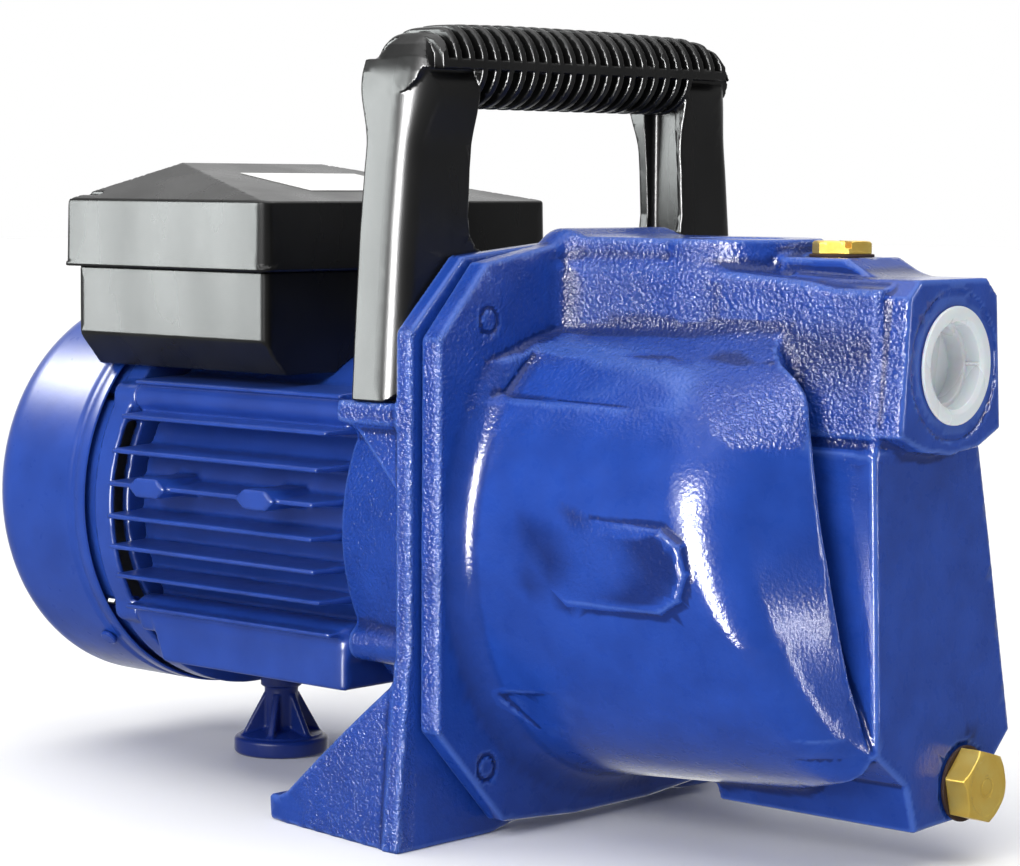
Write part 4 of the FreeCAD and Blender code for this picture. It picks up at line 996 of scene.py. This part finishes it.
def painted_casting():
    """Thick gloss paint with a painted highlight on outward bends and painted shade in creases,
    grainy where the skin is rough.
    """
    finish = Finish("cast_paint")
    finish.set(Coat_Weight=1.0, Coat_Roughness=0.15, Coat_IOR=1.3, Specular_IOR_Level=0.05)
    finish.colour(PAINT_DEEP, PAINT_LIGHT, finish.noise(70, 3))
    # painted highlight: lighter blue mixed in on sharp outward bends, where light would catch the
    # edges
    finish.tinted("bend", 0.35, 1.0, 0.35, PAINT_EDGE_HIGHLIGHT)
    # painted shade: darker blue mixed in on inward bends, where shade falls in creases and hollows
    finish.tinted("bend", -0.06, -0.5, 0.75, PAINT_CREASE_SHADE)
    finish.rough(0.24, 0.36, finish.noise(160, 3))
    mask = finish.tree.nodes.new("ShaderNodeAttribute")
    mask.attribute_name = "rough"
    finish.bump(finish.noise(110, 1), 0.00006)
    finish.bump(finish.noise(900, 2), 0.00003)
    sand = finish.ranged(finish.noise(780, 2.5, roughness=0.55), 0, 1, 0.32, 0.68)
    finish.bump(sand, 0.00042, mask.outputs["Fac"])
    finish.link(finish.normal, finish.shader.inputs["Coat Normal"])


def painted_sheet(name, peel, depth, low, high):
    """Thinner satin paint."""
    finish = Finish(name)
    finish.set(Coat_Weight=0.8, Coat_Roughness=0.34, Coat_IOR=1.35, Specular_IOR_Level=0.08)
    finish.colour(PAINT_DEEP, PAINT_LIGHT, finish.noise(60, 3))
    finish.rough(low, high, finish.noise(220, 3))
    finish.bump(finish.noise(peel, 2), depth)


def moulded(name, first, second, low, high, grain=3200, depth=0.00003):
    """Moulded plastic with a fine spark-eroded grain and faint flow marks."""
    finish = Finish(name)
    finish.colour(first, second, finish.noise(38, 4))
    finish.rough(low, high, finish.noise(28, 4, stretch=(1, 1, 0.35)))
    finish.bump(finish.noise(grain, 1), depth)
    finish.bump(finish.noise(120, 2), 0.00004)
    return finish


def metal(name, first, second, low, high, scale=240, depth=0.00001, stretch=None):
    """Bare metal with uneven shine."""
    finish = Finish(name)
    finish.set(Metallic=1.0)
    finish.colour(first, second, finish.noise(90, 4))
    finish.rough(low, high, finish.noise(scale, 4, stretch=stretch))
    finish.bump(finish.noise(scale * 4, 3, stretch=stretch), depth)
    return finish


def make_materials():
    """Give every material slot of the record its nodes."""
    painted_casting()
    painted_sheet("motor_paint", 500, 0.00008, 0.3, 0.42)
    painted_sheet("cover_paint", 350, 0.00005, 0.27, 0.36)
    for name in ("black_plastic", "handle_plastic"):
        black = moulded(name, (0.004, 0.004, 0.004), (0.008, 0.008, 0.008), 0.24, 0.34)
        black.set(Specular_IOR_Level=0.36)
        if name == "handle_plastic":
            black.groove((JOINT_X + HANDLE_SCREW_X) * MM, 0.0005, 0.0004)
    for name in ("white_plastic", "cap_plastic"):
        white = moulded(name, (0.74, 0.76, 0.8), (0.82, 0.84, 0.87), 0.22, 0.34, 1500)
        white.set(Subsurface_Weight=0.35, Subsurface_Scale=0.004, Transmission_Weight=0.12)
    brass = metal("brass", (0.95, 0.62, 0.10), (1.0, 0.76, 0.20), 0.28, 0.42)
    brass.set(Metallic=0.75)
    centre = ((JOINT_X + BOSS_X) * MM, DRAIN_Y * MM, DRAIN_Z * MM)
    brass.bump(brass.bands(900, "RINGS", centre), 0.000006)
    metal("zinc_steel", (0.50, 0.52, 0.54), (0.66, 0.67, 0.68), 0.28, 0.45)
    metal("stainless", (0.56, 0.55, 0.53), (0.68, 0.67, 0.65), 0.18, 0.34, 300, 0.000008, (8, 1, 1))
    metal("bearing_steel", (0.58, 0.58, 0.59), (0.7, 0.7, 0.71), 0.1, 0.22)
    metal("aluminium", (0.66, 0.67, 0.68), (0.78, 0.79, 0.8), 0.36, 0.55, 300, 0.00006)
    sheets = metal("laminations", (0.2, 0.2, 0.21), (0.34, 0.34, 0.35), 0.38, 0.55)
    sheets.bump(sheets.bands(628), 0.00008)
    wire = metal("copper", (0.5, 0.17, 0.06), (0.68, 0.27, 0.1), 0.22, 0.4)
    wire.bump(wire.bands(350, "RINGS", (0, 0, AXIS * MM)), 0.0003)
    for values in (
            ("foot_plastic", (0.006, 0.02, 0.15), (0.008, 0.028, 0.2), 0.25, 0.4),
            ("grey_plastic", (0.16, 0.165, 0.17), (0.22, 0.225, 0.23), 0.35, 0.5),
            ("capacitor_case", (0.55, 0.56, 0.56), (0.66, 0.67, 0.67), 0.3, 0.45),
            ("label", (0.82, 0.82, 0.8), (0.88, 0.88, 0.87), 0.4, 0.55, 5000, 0.00001),
            ("fibre", (0.03, 0.014, 0.011), (0.05, 0.022, 0.016), 0.6, 0.8, 1800, 0.00008),
            ("rubber", (0.01, 0.01, 0.01), (0.02, 0.02, 0.02), 0.5, 0.7, 1800, 0.00004),
            ("ceramic", (0.70, 0.69, 0.65), (0.78, 0.77, 0.73), 0.2, 0.35, 1800, 0.00001),
            ("carbon", (0.018, 0.018, 0.02), (0.04, 0.04, 0.045), 0.3, 0.5, 1800, 0.00002)):
        moulded(*values)


# -------- camera, light and floor

VIEW_YAW = math.radians(42)
SKY_SIDE, SKY_BACK = 0.25, 1.0
CASTINGS = ("casing_casting", "bracket_casting", "motor_frame", "rear_shield")
MOULDINGS = ("box_lid", "box_base", "carrying_handle")


def make_camera():
    """The camera stands low beside the front of the pump."""
    lens = bpy.data.cameras.new("view")
    lens.sensor_width = 36
    lens.lens = 105.9
    lens.clip_start = 0.01
    camera = linked("view", lens)
    pitch, roll = math.radians(4.8), math.radians(0.35)
    camera.location = ((JOINT_X + 679.6) * MM, -799.8 * MM, 222 * MM)
    facing = Vector((-math.sin(VIEW_YAW) * math.cos(pitch),
                     math.cos(VIEW_YAW) * math.cos(pitch), -math.sin(pitch)))
    turn = facing.to_track_quat("-Z", "Y").to_matrix()
    camera.rotation_euler = (turn @ Matrix.Rotation(roll, 3, "Z")).to_euler()
    bpy.context.scene.camera = camera


def set_tone():
    """Plain display of the light, without a film curve."""
    bpy.context.scene.view_settings.view_transform = "Standard"


def make_light(name, place, target, size, power, colour=(1, 1, 1), lit=()):
    """A soft rectangular lamp aimed at a point, lighting only some pieces when they are named."""
    lamp = bpy.data.lights.new(name, "AREA")
    lamp.shape = "RECTANGLE"
    lamp.size, lamp.size_y = size
    lamp.energy = power
    lamp.color = colour
    holder = linked(name, lamp)
    holder.location = place
    aim = Vector(target) - Vector(place)
    holder.rotation_euler = aim.to_track_quat("-Z", "Y").to_euler()
    if lit:
        group = bpy.data.collections.new(name + "_lit")
        for piece in lit:
            group.objects.link(bpy.data.objects[piece])
        holder.light_linking.receiver_collection = group
    return holder


def make_dome(strength, width):
    """Broad soft light from above."""
    lamp = bpy.data.lights.new("dome", "SUN")
    lamp.energy = strength
    lamp.angle = math.radians(width)
    linked("dome", lamp).location = (0, 0, 2)


def make_floor():
    """A plain pale floor with a faint grain."""
    mesh = bpy.data.meshes.new("floor")
    reach = 8.0
    mesh.from_pydata([(-reach, -reach, 0), (reach, -reach, 0), (reach, reach, 0),
                      (-reach, reach, 0)], [], [(0, 1, 2, 3)])
    floor = linked("floor", mesh)
    finish = Finish("floor")
    finish.colour((0.88, 0.88, 0.88), (0.9, 0.9, 0.9), finish.noise(3, 2))
    finish.rough(0.55, 0.65, finish.noise(200, 2))
    mesh.materials.append(bpy.data.materials["floor"])
    floor.visible_glossy = False


def make_sky():
    """A pale backdrop behind the pump that darkens towards the sides."""
    world = bpy.data.worlds.new("studio")
    world.use_nodes = True
    tree = world.node_tree
    place = tree.nodes.new("ShaderNodeTexCoord")
    spread = tree.nodes.new("ShaderNodeVectorMath")
    spread.operation = "DOT_PRODUCT"
    spread.inputs[1].default_value = (-math.sin(VIEW_YAW), math.cos(VIEW_YAW), 0)
    level = tree.nodes.new("ShaderNodeMapRange")
    level.inputs["From Min"].default_value = 0.75
    level.inputs["From Max"].default_value = 0.95
    level.inputs["To Min"].default_value = SKY_SIDE
    level.inputs["To Max"].default_value = SKY_BACK
    back = tree.nodes["Background"]
    tree.links.new(place.outputs["Generated"], spread.inputs[0])
    tree.links.new(spread.outputs["Value"], level.inputs["Value"])
    tree.links.new(level.outputs["Result"], back.inputs["Strength"])
    back.inputs["Color"].default_value = (1, 1, 1, 1)
    bpy.context.scene.world = world


def make_studio():
    """All the lamps: soft boxes, and three that only give the paint its highlights."""
    make_light("side", (-1.3, -1.35, 0.42), (0, 0, 0.15), (0.8, 1.0), 50, (0.95, 1, 0.99),
               MOULDINGS)
    front = make_light("front", (0.35, -1.55, 0.35), (0.1, 0, 0.1), (0.45, 1.2), 200,
                       lit=CASTINGS + ("carrying_handle",))
    right = make_light("right", (1.35, 0.62, 0.4), (0.1, 0, 0.12), (0.1, 1.2), 20, lit=CASTINGS)
    rear = make_light("rear", (-1.26, -0.55, 1.19), (-0.19, -0.07, 0.1), (0.7, 0.5), 45,
                      lit=("fan_cover_sheet",))
    for lamp in (front, right, rear):
        lamp.visible_diffuse = False
    make_light("fill", (0.2, -1.7, 0.8), (0, 0, 0.1), (1.2, 0.8), 22)
    make_dome(3.0, 80)


make_materials()
set_tone()
make_camera()
make_floor()
make_sky()
make_studio()
